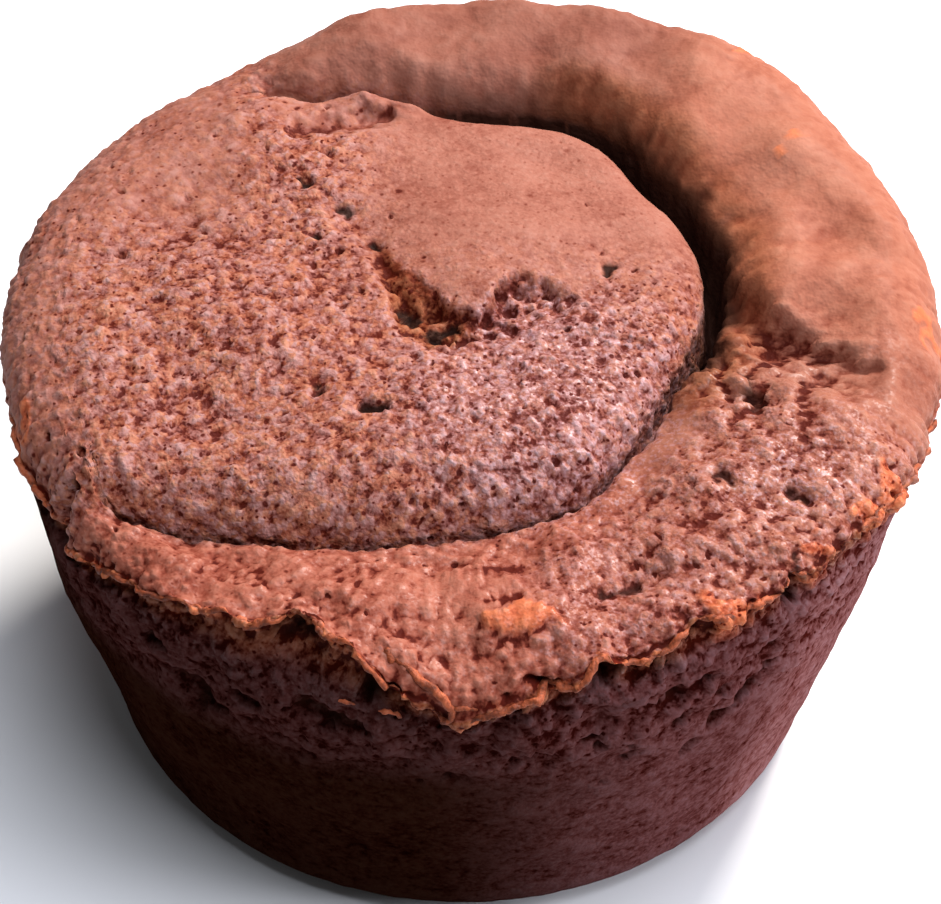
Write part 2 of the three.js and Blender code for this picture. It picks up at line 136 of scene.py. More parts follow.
SHOULDER_DROP = [(0, 2.5), (30, 2), (60, 1.6), (90, 1.6), (128, 1.2), (205, 2.2), (217, 3.2), (225, 3.7),
                 (240, 4.1), (270, 4.2), (300, 3.9), (330, 3.2)]
COLLAR_STEP = [(0, -0.5), (20, 0), (45, -0.3), (90, -0.5), (117, -0.2), (126, 0), (203, 0), (215, 0.2),
               (240, 0.3), (300, 0.35), (330, 0.2)]
COLLAR_RISE = [(0, 3), (15, 3.4), (30, 3.8), (37, 4.4), (46, 5.5), (60, 5.3), (75, 4.8), (102, 4.4),
               (109, 3.6), (116, 2.4), (127, 1), (165, 0), (203, 0), (225, 0.7), (245, 1.1), (268, 0.3),
               (282, 0.4), (300, 1.1), (320, 1.9), (340, 2.6)]
COLLAR_CREST = [(0, 0.68), (45, 0.7), (90, 0.72), (105, 0.66), (118, 0.4), (128, 0.1), (165, 0.05),
                (203, 0.08), (215, 0.4), (240, 0.35), (270, 0.25), (300, 0.4), (320, 0.5), (340, 0.62)]
COLLAR_SQUARE = [(0, 2), (90, 2), (180, 2), (205, 2.2), (230, 2.8), (270, 3), (310, 2.6), (340, 2.1)]
# 1 where the crack is open, and 0 where the dome rolls over into the rim
CRACK_OPEN = [(0, 1), (60, 1), (115, 1), (129, 0), (165, 0), (205, 0), (211, 0), (217.5, 1), (300, 1)]
# how far the crack's outer lip strays from its curve
LIP_RAGGED = [(0, 0.5), (14, 0.4), (24, 0.3), (40, 0.2), (100, 0.25), (210, 0.15), (270, 0.15),
              (320, 0.3), (340, 0.5)]
LIP_WAVES = [(0.6, 4.5, 14), (0.5, 1.8, 15)]
# where there is no crack these zones share one full curve over the rim, of this squareness
OVER_SQUARE = 3
OVER_SHARE = {"shoulder": (0, 0.45), "crack": (0.45, 0.5), "inner": (0.5, 0.62), "outer": (0.62, 1)}
FRILL_REACH = [(0, 0.2), (30, 0.1), (60, 0.2), (90, 0), (165, 0), (190, 0.1), (203, 0.5), (235, 0.3),
               (250, 0.5), (262, 0.8), (275, 0.9), (290, 0.8), (300, 0.5), (315, 0.6), (335, 0.4)]
WALL_TOP = [(0, 31), (45, 32), (90, 32), (135, 31), (180, 30.5), (215, 30.8), (230, 30.6), (245, 28.8),
            (258, 28.4), (268, 28.6), (282, 29.4), (292, 30.2), (320, 30.6)]
RIM_RAGGED = [(0, 0.3), (60, 0.15), (110, 0.15), (180, 0.25), (205, 0.4), (235, 0.35), (300, 0.35),
              (335, 0.5)]
print("sizes set:", len(RIM_RADIUS), "stations round the rim")

# %% [markdown]
# ## The relief of the top and the wall
# Pits, furrows, folds and flakes that can be picked out one by one are strokes: a soft ridge or
# hollow from one point to another, with a width and a height. A negative height is a hollow.
# The crater is made apart, because it has a sharp edge on one side only.

# %% Relief in millimetres: (from x, from y, to x, to y, width, height)
CRATER_EDGE = [(-7, 7.4), (-5.3, 4.4), (-4, 2.9), (-2.6, 1.2), (-1.1, -0.8), (0.5, -1.8), (1.3, -1.2),
               (1.9, 0), (3, 1.7), (5, 2.1), (7, 1.6), (8.6, 0.4)]
CRATER_LEFT_END = (-8.2, -4.8)  # its depth grows from nothing to full between these values of x
CRATER_RIGHT_END = (6.3, 9)     # and falls to nothing between these
CRATER_MIDDLE = (-1.4, 1.4)     # the left slope passes into the right bowl between these
CRATER_FRONT = [(-8.5, 6.5), (-6.6, 2), (-5.2, -2.1), (-2.6, -4.9), (1.1, -5.6), (4, -4.8), (7, -2.4),
                (9, -0.4)]     # the front border, where the floor has risen to the dome again
BOWL_DEPTH = 0.9               # behind the front border on the right, under a sharp edge
FLANK_DEPTH = 0.95             # the longer slope on the left, deepest near the front
LEAST_CRATER = 2.0             # the crater is taken to be at least this long from back to front
# where depth begins and ends, as shares of the way from the crater's edge to its front border
BOWL_SHARES = ((-0.04, 0.1), (0.3, 1))
FLANK_SHARES = ((-0.08, 0.55), (0.5, 1.05))
EDGE_WAVES = [(0.35, 2.6, 21), (0.25, 1.1, 22)]
CRATER_WAVES = [(0.9, 3.5, 23), (0.4, 1.4, 24)]
FLOOR_WAVES = [(0.35, 1.7, 25), (0.25, 0.9, 26)]
STROKE_WAVES = [(0.26, 2.1, 31), (0.1, 0.8, 32)]      # how far the outline of a stroke strays
NOSE_CENTRE = (0.4, 0.8)
NOSE_RADIUS = 4.0
NOSE_HEIGHT = 0.55
NOSE_FADE = (-0.25, 0.45)
# the collar steps down in front of this line on the right
STEP_EDGE = [(18.6, 4.6), (19.6, 4), (21.2, 1.8), (22.9, -0.2), (25.2, -2.2), (28.2, -4.4), (30.3, -5.4),
             (31.5, -5.6)]
STEP_DEPTH = 1.2
STEP_LENGTH = 7.0
STEP_FACE = (-0.2, 0.6)        # the step falls between these distances from its edge
STEP_FLOOR = 1.5               # and its floor begins to rise again here
STEP_LEFT_END = (18.5, 20.5)
STEP_RIGHT_END = (29, 31.5)
TOP_STROKES = [
    # the pits on the dome's left, from the crater up, and the larger pits in front
    (-6.6, 5.8, -7.0, 6.6, 0.5, -0.4), (-8.8, 9.8, -9.4, 10.6, 0.5, -0.45),
    (-12.2, 13.2, -12.9, 13.6, 0.45, -0.45), (-11.3, 7.1, -11.4, 7.6, 0.45, -0.45),
    (-5.2, 4.2, -8.6, 9.4, 1.6, -0.35), (10.4, 2.8, 10.9, 4.2, 0.38, -0.45),
    (-10.6, -9, -10.6, -9.4, 0.42, -0.9), (-7.2, -10.6, -6, -11.2, 0.42, -0.9),
    # the dark hollows under the crater's nose
    (-4.6, -0.2, -3.9, -1.2, 0.6, -0.6), (-2.6, -3.1, -0.8, -2.2, 0.55, -0.5),
    # the low folds on the dome's left side
    (-22, 3, -15, -5, 4, 0.5), (-19, 12, -24, 2, 3, -0.35),
    # the tongue of crust at the crack's left end, and the hollow in front of it
    (-4.2, 22.8, -8, 23.8, 1.2, 0.7), (-8, 23.8, -13.4, 25.2, 1.6, 0.6), (-12.8, 19.6, -6.8, 21.4, 1.1, -0.9),
    (-15.5, 22.5, -18, 20.5, 1.6, 0.5),
    # lobes and hollows of the collar on the right
    (20.8, 5.4, 26.5, 2.2, 2.4, 0.5), (21.5, -2.0, 24.2, -3.4, 2.0, -0.35), (20.4, 9.6, 22.4, 9.1, 0.8, -0.3),
    (24.6, 11.2, 27.1, 8, 2.0, -0.3), (28.9, 7, 31.2, 4.8, 1.8, -0.25), (28, -4.3, 30, -5.5, 0.8, -0.4),
    (20.2, -6.6, 20.9, -8, 0.45, -0.55), (20.9, -8, 21.1, -10, 0.45, -0.55),
    (24.6, -7.1, 24.8, -7.6, 0.4, -0.5),
    # knobs and furrows of the ledge at the front and front right
    (18, -16.3, 18.8, -17, 0.5, -0.6), (23.4, -18, 24, -18.8, 0.5, -0.6),
    (9.6, -26.2, 12.2, -25.4, 0.55, -0.6), (2, -28.4, 5.8, -28.8, 1.8, 0.6),
    (-9.5, -25.8, -4, -27.4, 1.8, 0.5), (-5.2, -30.8, -2.4, -32.8, 1.0, 0.7),
    (-20, -21, -15, -24, 1.8, -0.5), (23.2, -23.6, 23, -26, 0.4, -0.7), (-1, -24.5, 3, -25.2, 1.0, 0.45),
    (14.5, -23, 18.5, -21.5, 1.2, 0.4), (-15.5, -26.5, -12, -27.6, 1.0, 0.45),
]
# hollows of the wall and under the frill: (from azimuth, from height, to azimuth, to height, width, depth)
GASHES = [
    (303.6, 22.3, 305, 22.9, 0.5, 1.1), (306.6, 23.7, 308.6, 24.6, 0.65, 1.3),
    (310.6, 25.4, 311.6, 25.9, 0.5, 1.0), (299.6, 20.4, 300.6, 20.8, 0.4, 0.8),
    (309.6, 28.2, 311, 28.4, 0.45, 0.9), (303, 26.6, 304, 26.9, 0.4, 0.8), (297, 24.6, 298, 25, 0.4, 0.8),
    (290.5, 22.6, 291.5, 23, 0.45, 0.8), (285, 25.6, 286.6, 25.9, 0.45, 0.8), (276, 25.2, 278, 25, 0.4, 0.7),
    (268, 22.5, 270, 22.4, 0.4, 0.6), (300, 29.2, 301.6, 29.4, 0.45, 0.8),
    (235, 24.5, 236.4, 24.3, 0.45, 0.8), (241, 27.6, 243, 27.3, 0.5, 0.9),
    (228, 28.6, 229.6, 28.3, 0.45, 0.8),
    (293, 27.8, 297, 28.6, 0.7, 0.7), (246, 34.2, 249, 34, 0.8, 1.2), (259, 31.8, 262, 31.2, 0.9, 1.7),
    (278, 33, 280, 32.8, 0.8, 1.6), (287, 32.4, 290, 32.9, 0.8, 1.4), (313, 34.6, 313.4, 32.6, 0.5, 1.3),
    (250, 28.6, 257, 27.2, 0.8, 0.8), (232, 25.6, 238, 24.4, 0.9, 0.7), (210.5, 35.5, 211, 31.5, 0.7, 1.5),
]
WALL_ARC_RADIUS = 33           # lengths along the wall are measured on an arc of this radius
GASH_WAVES = [(0.5, 2.6, 41), (0.25, 1.2, 42)]
# unevenness: (height, wavelength, seed)
DOME_WAVES = [(0.32, 17, 1), (0.12, 6, 2)]
COLLAR_WAVES = [(0.4, 11, 3), (0.25, 6, 4)]
RIM_WAVES = [(0.4, 9, 5), (0.35, 4.2, 6), (0.35, 2.0, 13), (0.25, 1.0, 14)]
WALL_WAVES = [(0.2, 13, 7), (0.1, 5, 8)]
CRUMBLE_WAVES = [(0.35, 4.6, 9)]
CRUMBLE_BAND = (22, 31)        # heights of the crumbly band, and how softly it begins and ends
CRUMBLE_BAND_FADES = (4, 3)
CRUMBLE_ARC = (215, 325)
CRUMBLE_ARC_FADES = (20, 15)
print("relief set:", len(TOP_STROKES), "strokes on top,", len(GASHES), "on the wall")

# %% [markdown]
# ## Small helpers for curves
# `through` joins stations by a smooth curve that passes through each of them, and `around`
# is the same curve closed on itself. `swell` is a repeatable unevenness: a sum of plane waves
# in evenly spread directions, which has no grain of its own and needs no random numbers.

# %% Curve helpers
PLANE_WAVES = 7
GOLDEN_ANGLE = math.pi * (3 - math.sqrt(5))


def hermite(at, place, value):
    """A smooth curve through (place, value) stations, whose ends must lie outside `at`."""
    slope = np.zeros_like(value)
    slope[1:-1] = (value[2:] - value[:-2]) / (place[2:] - place[:-2])
    i = np.clip(np.searchsorted(place, at, side="right") - 1, 0, len(place) - 2)
    gap = place[i + 1] - place[i]
    u = (at - place[i]) / gap
    ease = u * u * (3 - 2 * u)
    leave = u * (1 - u) ** 2 * gap * slope[i]
    arrive = u * u * (1 - u) * gap * slope[i + 1]
    return value[i] + (value[i + 1] - value[i]) * ease + leave - arrive


def through(at, stations):
    place, value = np.array(stations, float).T
    return hermite(np.clip(at, place[0], place[-1]), place, value)


def around(azimuth, stations):
    place, value = np.array(stations, float).T
    place = np.concatenate([place[-2:] - 360, place, place[:2] + 360])
    value = np.concatenate([value[-2:], value, value[:2]])
    return hermite(np.mod(azimuth, 360), place, value)


def smooth(low, high, value):
    t = np.clip((value - low) / (high - low), 0, 1)
    return t * t * (3 - 2 * t)


def swell(x, y, z, wavelength, seed):
    """Unevenness of about -1 to 1. The odd factors only keep the waves and the seeds apart."""
    total = 0
    for k in range(PLANE_WAVES):
        up = 1 - (2 * k + 1) / PLANE_WAVES
        flat = math.sqrt(1 - up * up)
        turn = GOLDEN_ANGLE * k + seed * 1.7
        rate = 2 * math.pi / wavelength * (0.8 + 0.4 * ((k * 0.618 + seed * 0.37) % 1))
        along = flat * math.cos(turn) * x + flat * math.sin(turn) * y + up * z
        total = total + np.sin(rate * along + seed * 2.3 + k * 1.9)
    return total / math.sqrt(PLANE_WAVES) / 1.2


def waves(listed, x, y, z):
    return sum(high * swell(x, y, z, length, seed) for high, length, seed in listed)


def under_stroke(px, py, ax, ay, bx, by, wide):
    """How strongly points are under a stroke: 1 on its line, fading over its width."""
    dx = bx - ax
    dy = by - ay
    t = np.clip(((px - ax) * dx + (py - ay) * dy) / (dx * dx + dy * dy), 0, 1)
    return np.exp(-((px - ax - t * dx) ** 2 + (py - ay - t * dy) ** 2) / wide ** 2)


print("around the rim at 100 degrees:", round(float(around(np.array([100.0]), RIM_RADIUS)[0]), 2), "mm")

# %% [markdown]
# ## One slice of the cake
# A slice runs from the middle of the top, over the dome's shoulder, down into the crack and
# up the collar, over the rim, under the frilled edge and down the wall to the middle of the
# base. Each zone of the slice is a short formula, and on the left, where there is no crack,
# the dome's edge is blended into one full curve over the rim.

# %% Heights and radii of a slice
def crater_depth(x, y):
    """A bowl under a sharp edge on the right, and on the left a slope that ends in a hollow."""
    back = through(x, CRATER_EDGE) + waves(EDGE_WAVES, x, y, 0)
    front = through(x, CRATER_FRONT) + waves(CRATER_WAVES, x, y, 0)
    across = (back - y) / np.maximum(back - front, LEAST_CRATER)
    bowl = BOWL_DEPTH * smooth(*BOWL_SHARES[0], across) * (1 - smooth(*BOWL_SHARES[1], across))
    flank = FLANK_DEPTH * smooth(*FLANK_SHARES[0], across) * (1 - smooth(*FLANK_SHARES[1], across))
    on_right = smooth(*CRATER_MIDDLE, x)
    ends = smooth(*CRATER_LEFT_END, x) * (1 - smooth(*CRATER_RIGHT_END, x))
    return ends * (bowl * on_right + flank * (1 - on_right)) * (1 + waves(FLOOR_WAVES, x, y, 0))


def step_depth(x, y):
    front = through(x, STEP_EDGE) - y + waves(EDGE_WAVES, x, y, 0)
    ends = smooth(*STEP_LEFT_END, x) * (1 - smooth(*STEP_RIGHT_END, x))
    return STEP_DEPTH * ends * smooth(*STEP_FACE, front) * (1 - smooth(STEP_FLOOR, STEP_LENGTH, front))


def astray(x, y):
    """Where a point is looked up, so that the outlines of strokes and pits aren't perfect ovals."""
    return x + waves(STROKE_WAVES, x, y, 0), y + waves(STROKE_WAVES, x, y, 50)


def top_relief(x, y):
    behind = y - through(x, CRATER_EDGE) - waves(EDGE_WAVES, x, y, 0)
    nose = np.exp(-((x - NOSE_CENTRE[0]) ** 2 + (y - NOSE_CENTRE[1]) ** 2) / NOSE_RADIUS ** 2)
    high = NOSE_HEIGHT * nose * smooth(*NOSE_FADE, behind) - crater_depth(x, y) - step_depth(x, y)
    stroke_x, stroke_y = astray(x, y)
    for ax, ay, bx, by, wide, height in TOP_STROKES:
        high = high + height * under_stroke(stroke_x, stroke_y, ax, ay, bx, by, wide)
    return high


def dome_height(x, y):
    return DOME_HEIGHT - DOME_FALL * (x * x + y * y) / DOME_FALL_RADIUS ** 2 + DOME_TILT * y


def wall_radius(z):
    up = np.clip((z - BULGE_SPAN[0]) / (BULGE_SPAN[1] - BULGE_SPAN[0]), 0, 1)
    return BASE_RADIUS + (z - CORNER) * FLARE + BULGE * np.sin(np.pi * up)


def wall_relief(azimuth, z):
    deep = 0
    wall_x = WALL_ARC_RADIUS * np.cos(np.radians(azimuth))
    wall_y = WALL_ARC_RADIUS * np.sin(np.radians(azimuth))
    z = z + waves(GASH_WAVES, wall_x, wall_y, z)
    for from_azimuth, from_z, to_azimuth, to_z, wide, depth in GASHES:
        start = np.radians(from_azimuth - azimuth) * WALL_ARC_RADIUS
        length = math.radians(to_azimuth - from_azimuth) * WALL_ARC_RADIUS
        deep = deep + depth * under_stroke(-start, z, 0, from_z, length, to_z, wide)
    return -deep


def crumble(azimuth, x, y, z):
    low, high = CRUMBLE_BAND
    start, end = CRUMBLE_ARC
    into, out = CRUMBLE_BAND_FADES
    band = smooth(low, low + into, z) * (1 - smooth(high, high + out, z))
    into, out = CRUMBLE_ARC_FADES
    arc = smooth(start, start + into, azimuth) * (1 - smooth(end, end + out, azimuth))
    return band * arc * waves(CRUMBLE_WAVES, x, y, z)


# %% A ring of points on every slice
TOP_ZONES = ("dome", "shoulder", "crack", "inner", "outer")
WAVES_ON_COLLAR = 0.16         # how much of the dome's own unevenness carries on past the crack
LEAST_COLLAR = 1.4             # least distance from the crack's middle to the rim
LEAST_OUTER = 0.8              # least distance from the crack's outer lip to the rim
RIM_CIRCLE = 40                # the rim's unevenness is read on a circle of this radius
LIP_CIRCLE = 25
LIP_BACK = 0.8                 # how far the lip's lower edge comes back, as a share of its reach
WALL_RELIEF_FADE = 4           # the wall's relief starts over this height above the corner
CREST_LIMITS = (0.05, 0.9)     # where the collar's crest may lie, as a share of the collar's width
LIP_HANG = 0.4                 # how far the lip hangs down where it has no reach, in crust thicknesses
VALLEY_POWER = 0.6             # below 1 gives the crack a wide bottom and steep sides
INNER_POWER = 1.5              # above 1 puts the rings closer together at the collar's foot
LIP_POWER = 0.7                # below 1 gives the lip a blunt edge
DOME_CALM = 3.5                # the dome's own waves fade over this distance before the crack
COLLAR_CALM = (3, 2.5)         # the collar's waves fade over these distances from its two edges
RIM_CALM = 2                   # and the relief of the top over this distance from the rim


def slice_points(azimuth, zone, t):
    """Points of the cake in millimetres, at share t of a zone, for an array of azimuths."""
    cos = np.cos(np.radians(azimuth))
    sin = np.sin(np.radians(azimuth))
    ragged = around(azimuth, RIM_RAGGED)
    rim_x = RIM_CIRCLE * cos
    rim_y = RIM_CIRCLE * sin
    rim_r = around(azimuth, RIM_RADIUS) + ragged * waves(RIM_WAVES, rim_x, rim_y, 0)
    rim_z = around(azimuth, RIM_HEIGHT) + ragged * waves(RIM_WAVES, rim_x, rim_y, 30)
    width = around(azimuth, CRACK_WIDTH)
    crack_r = np.minimum(around(azimuth, CRACK_RADIUS), rim_r - LEAST_COLLAR)
    in_r = crack_r - width / 2
    stray = around(azimuth, LIP_RAGGED) * waves(LIP_WAVES, LIP_CIRCLE * cos, LIP_CIRCLE * sin, 0)
    out_r = np.clip(crack_r + width / 2 + stray, crack_r, rim_r - LEAST_OUTER)
    shoulder = around(azimuth, SHOULDER_WIDTH)
    drop = np.maximum(0, around(azimuth, SHOULDER_DROP))
    in_z = dome_height(in_r * cos, in_r * sin) - drop
    out_z = in_z + around(azimuth, COLLAR_STEP)
    depth = np.maximum(0, around(azimuth, CRACK_DEPTH))
    crest_r = out_r + (rim_r - out_r) * np.clip(around(azimuth, COLLAR_CREST), *CREST_LIMITS)
    crest_z = out_z + np.maximum(0, around(azimuth, COLLAR_RISE))
    square = 2 / around(azimuth, COLLAR_SQUARE)
    reach = np.maximum(0, around(azimuth, FRILL_REACH))
    lip_r = rim_r - LIP_BACK * reach
    lip_z = rim_z - CRUST_THICKNESS * (LIP_HANG + reach)
    wall_top = around(azimuth, WALL_TOP)
    is_open = np.clip(around(azimuth, CRACK_OPEN), 0, 1)
    turn = t * math.pi / 2
    if zone == "dome":
        r = t * (in_r - shoulder)
        z = dome_height(r * cos, r * sin)
    elif zone == "shoulder":
        r = in_r - shoulder + shoulder * math.sin(turn)
        z = dome_height(r * cos, r * sin) - drop * (1 - math.cos(turn))
    elif zone == "crack":
        valley = math.sin(math.pi * t) ** VALLEY_POWER
        r = in_r + (out_r - in_r) * t
        z = (in_z + (out_z - in_z) * t) * (1 - valley) + (np.minimum(in_z, out_z) - depth) * valley
    elif zone == "inner":
        across = t ** INNER_POWER
        r = out_r + (crest_r - out_r) * across
        z = out_z + (crest_z - out_z) * math.sqrt(1 - (1 - across) ** 2)
    elif zone == "outer":
        r = crest_r + (rim_r - crest_r) * math.sin(turn) ** square
        z = rim_z + (crest_z - rim_z) * math.cos(turn) ** square
    elif zone == "frill":
        r = rim_r + reach * math.sin(2 * turn) ** LIP_POWER - LIP_BACK * reach * t
        z = rim_z + (lip_z - rim_z) * (1 - math.cos(2 * turn)) / 2
    elif zone == "under":
        r = lip_r + (wall_radius(wall_top) - lip_r) * smooth(0, 1, t)
        z = lip_z + (wall_top - lip_z) * t
    elif zone == "wall":
        z = wall_top + (CORNER - wall_top) * t
        r = wall_radius(z)
    elif zone == "corner":
        r = BASE_RADIUS - CORNER * (1 - math.cos(turn)) + 0 * azimuth
        z = CORNER * (1 - math.sin(turn)) + 0 * azimuth
    else:
        r = (BASE_RADIUS - CORNER) * (1 - t) + 0 * azimuth
        z = 0 * azimuth
    if zone in OVER_SHARE:
        start, end = OVER_SHARE[zone]
        over = math.sin((start + (end - start) * t) * math.pi / 2)
        start_r = in_r - shoulder
        start_z = dome_height(start_r * cos, start_r * sin)
        full = (1 - over ** OVER_SQUARE) ** (1 / OVER_SQUARE)
        r = (start_r + (rim_r - start_r) * over) * (1 - is_open) + r * is_open
        z = (rim_z + (start_z - rim_z) * full) * (1 - is_open) + z * is_open
    x = r * cos
    y = r * sin
    if zone in TOP_ZONES:
        share = WAVES_ON_COLLAR + (1 - WAVES_ON_COLLAR) * smooth(0, DOME_CALM, in_r - r)
        away = is_open * smooth(0, COLLAR_CALM[0], r - out_r) * smooth(0, COLLAR_CALM[1], rim_r - r)
        z = z + (waves(DOME_WAVES, x, y, 0) * share + top_relief(x, y)) * smooth(0, RIM_CALM, rim_r - r)
        z = z + waves(COLLAR_WAVES, x, y, 0) * away
    if zone in ("outer", "frill", "under", "wall"):
        uneven = waves(WALL_WAVES, x, y, z) if zone in ("wall", "under") else 0
        relief = wall_relief(azimuth, z) + crumble(azimuth, x, y, z) + uneven
        r = r + relief * smooth(CORNER, CORNER + WALL_RELIEF_FADE, z)
    shift = BASE_SHIFT * (1 - np.clip(z / LEAN_HEIGHT, 0, 1))
    return np.stack([r * cos + shift, r * sin, z], axis=1)


print("collar crest behind:", slice_points(np.array([90.0]), "outer", 0.0).round(1))

# %% [markdown]
# ## The skin as rings of points
# The skin could be sculpted, or made from a sphere, but a loft follows the same slices as the
# solid does. Each ring gets as many points as its own length needs, so the triangles stay
# small and even from the middle of the top to the rim. Neighbouring rings with different
# numbers of points are joined in the order in which their points come round.

# %% Rings and the triangles between them
# zone: (number of rings, distance between points in millimetres)
ZONE_GRID = {"dome": (70, 0.25), "shoulder": (24, 0.24), "crack": (22, 0.24), "inner": (24, 0.24),
             "outer": (34, 0.24), "frill": (8, 0.24), "under": (14, 0.28), "wall": (60, 0.42),
             "corner": (8, 0.8), "base": (8, 2.0)}
SMALLEST_RING = 8


def ring_azimuths(count):
    return np.arange(count) * 360 / count


def ring_size(zone, t, spacing):
    points = slice_points(ring_azimuths(90), zone, t)
    length = np.linalg.norm(points[:, :2] - points[:, :2].mean(axis=0), axis=1).mean() * 2 * math.pi
    return max(SMALLEST_RING, round(length / spacing))


def join_rings(first, first_count, second, second_count):
    """Triangles that face outwards between two rings, given the index of each ring's first point."""
    turn = np.concatenate([np.arange(1, first_count + 1) / first_count,
                           np.arange(1, second_count + 1) / second_count])
    in_first = np.concatenate([np.ones(first_count, int), np.zeros(second_count, int)])
    order = np.argsort(turn, kind="stable")
    steps = in_first[order]
    i = np.cumsum(steps)
    j = np.cumsum(1 - steps)
    a = first + i % first_count
    b = second + j % second_count
    before = np.where(steps == 1, first + (i - 1) % first_count, second + (j - 1) % second_count)
    triangles = np.where((steps == 1)[:, None], np.stack([before, b, a], 1), np.stack([a, before, b], 1))
    three_corners = (triangles[:, 0] != triangles[:, 1]) & (triangles[:, 1] != triangles[:, 2])
    return triangles[three_corners & (triangles[:, 0] != triangles[:, 2])]


# %% Lay the rings
ring_points = [slice_points(np.array([0.0]), "dome", 0.0)]
ring_azimuth = [np.array([0.0])]
ring_zone = [np.array(["dome"])]
ring_share = [np.array([0.0])]
for zone, (rows, spacing) in ZONE_GRID.items():
    for row in range(1, rows + 1):
        t = row / rows
        count = 1 if zone == "base" and row == rows else ring_size(zone, t, spacing)
        azimuths = ring_azimuths(count)
        ring_points.append(slice_points(azimuths, zone, t))
        ring_azimuth.append(azimuths)
        ring_zone.append(np.full(count, zone))
        ring_share.append(np.full(count, t))
counts = [len(ring) for ring in ring_points]
starts = np.concatenate([[0], np.cumsum(counts)[:-1]])
skin_triangles = np.concatenate([
    join_rings(starts[k], counts[k], starts[k + 1], counts[k + 1]) for k in range(len(counts) - 1)])
skin_points = np.concatenate(ring_points)
skin_azimuth = np.concatenate(ring_azimuth)
skin_zone = np.concatenate(ring_zone)
skin_share = np.concatenate(ring_share)
print("skin:", len(skin_points), "points,", len(skin_triangles), "triangles in", len(counts), "rings")

# %% [markdown]
# ## What each place of the skin is like
# The crumb isn't the same everywhere. The dome is full of pores in front and on its left and
# fine behind, the collar is smoother and more orange, the crack is fresh crumb, and the wall
# is dark crust. Light and shade are painted as well: painted shade in the crack, its pits and
# the wall's gashes, beside the crack on the collar and on the wall's left; painted light on the
# wall's right and, in part, in the collar's orange on its right and back; and a painted cool
# sheen on moist crumb. These differences are painted on the points as named attributes from 0
# to 1, which Geometry Nodes and the material both read.

# %% Helpers for painting
x, y, z = skin_points.T
radius = np.hypot(x, y)
is_top = np.isin(skin_zone, TOP_ZONES)
crack_is_open = np.clip(around(skin_azimuth, CRACK_OPEN), 0, 1)
past_crack = radius - around(skin_azimuth, CRACK_RADIUS)
beyond_crack = smooth(-0.5, 1.5, past_crack) * smooth(0, 1, crack_is_open)


def in_arc(start, end, fade):
    """1 for azimuths from start to end, fading to 0 outside. An arc may pass 0 or 360."""
    middle = (start + end) / 2
    away = np.abs((skin_azimuth - middle + 180) % 360 - 180)
    return 1 - smooth((end - start) / 2, (end - start) / 2 + fade, away)


def in_spot(middle_x, middle_y, half_x, half_y, full, gone):
    """1 in an ellipse in plan out to its share `full`, fading to 0 at its share `gone`."""
    return 1 - smooth(full, gone, np.hypot((x - middle_x) / half_x, (y - middle_y) / half_y))


def along_zone(zone, low, high):
    """0 up to share low of a zone and 1 from share high on; 0 in all the other zones."""
    return np.where(skin_zone == zone, smooth(low, high, skin_share), 0)


def start_of_zone(zone, low, high):
    """1 up to share low of a zone and 0 from share high on; 0 in all the other zones."""
    return np.where(skin_zone == zone, 1 - smooth(low, high, skin_share), 0)


print("points of the top:", int(is_top.sum()))

# %% The places of the dome, the collar and the wall
# arcs are start azimuth, end azimuth and fade, in degrees
LEFT_RIM_ARC = (130, 200, 15)
COLLAR_ARC = (-40, 112, 20)
TORN_ARC = (215, 330, 15)
OPEN_LEDGE_ARC = (286, 333, 12)
LEDGE_ARC = (208, 345, 14)
# spots are middle x and y, half size along x and along y, and the shares where they fade
TONGUE_SPOT = (-9, 23, 8.5, 4.5, 0.6, 1.2)
CRUMBLY_SPOT = (22.3, -6, 6.2, 6, 0.6, 1.25)
behind_crater = smooth(0, 0.9, y - through(x, CRATER_EDGE)) * smooth(-9, -6.5, x) * (1 - smooth(8, 12, x))
behind_crater = 0.8 * behind_crater * smooth(-8, -2, y)
fine_back = np.maximum(smooth(-3, 8, y) * smooth(-12, -3, x), behind_crater)
far_left = smooth(3, 14, y) * smooth(12, 20, -x)
far_left = np.maximum(far_left, 0.8 * smooth(27, 32, radius) * in_arc(*LEFT_RIM_ARC))
far_left = np.maximum(far_left, in_spot(*TONGUE_SPOT))
collar_sides = in_arc(*COLLAR_ARC)
wall_depth = np.where(skin_zone == "wall", 1.0, np.where(skin_zone == "under", skin_share, 0.0))
wall_depth = np.where(np.isin(skin_zone, ["corner", "base"]), 1.0, wall_depth)
torn_band = smooth(20, 26, z) * in_arc(*TORN_ARC)

# the torn, crumbly hollow of the collar on the right, and the ledge at the front right, which has
# the open crumb of the dome outside a smooth band along the crack
crumbly = in_spot(*CRUMBLY_SPOT) * beyond_crack * is_top
open_ledge = in_arc(*OPEN_LEDGE_ARC) * smooth(2.0, 4.5, past_crack) * beyond_crack * is_top
ledge = beyond_crack * in_arc(*LEDGE_ARC) * is_top * (1 - 0.5 * open_ledge)
even_crust = beyond_crack * collar_sides * is_top * (1 - 0.8 * crumbly) * (1 - open_ledge)
print("open crumb on the ledge:", round(float(open_ledge.mean()), 4), "of the points")

# %% Knobs, pores and grain
# how fine-grained each place looks: sharp small crumbs on the dome, smoother crust elsewhere
knobby = np.where(is_top, 1 - 0.85 * fine_back, 0) * (1 - even_crust * 0.9)
knobby = np.where(is_top, knobby, 0.15 + 0.85 * torn_band)
porous = np.where(is_top, 0.9 - 0.75 * fine_back, 0) * (1 - 0.5 * far_left)
porous = porous * (1 - beyond_crack * (0.6 + collar_sides * 0.25).clip(0, 0.85))
porous = np.maximum(porous, 0.62 * open_ledge)
porous = np.where(is_top, porous, 0.12 + 0.6 * torn_band)
grainy = np.where(beyond_crack > 0, 1 - 0.62 * beyond_crack, 1.0)
grainy = grainy * (1 - 0.6 * fine_back) * (1 - 0.7 * far_left)
grainy = np.where(is_top, grainy * (1 - 0.5 * even_crust), 0.8)
grainy = np.maximum(grainy, 0.7 * open_ledge)
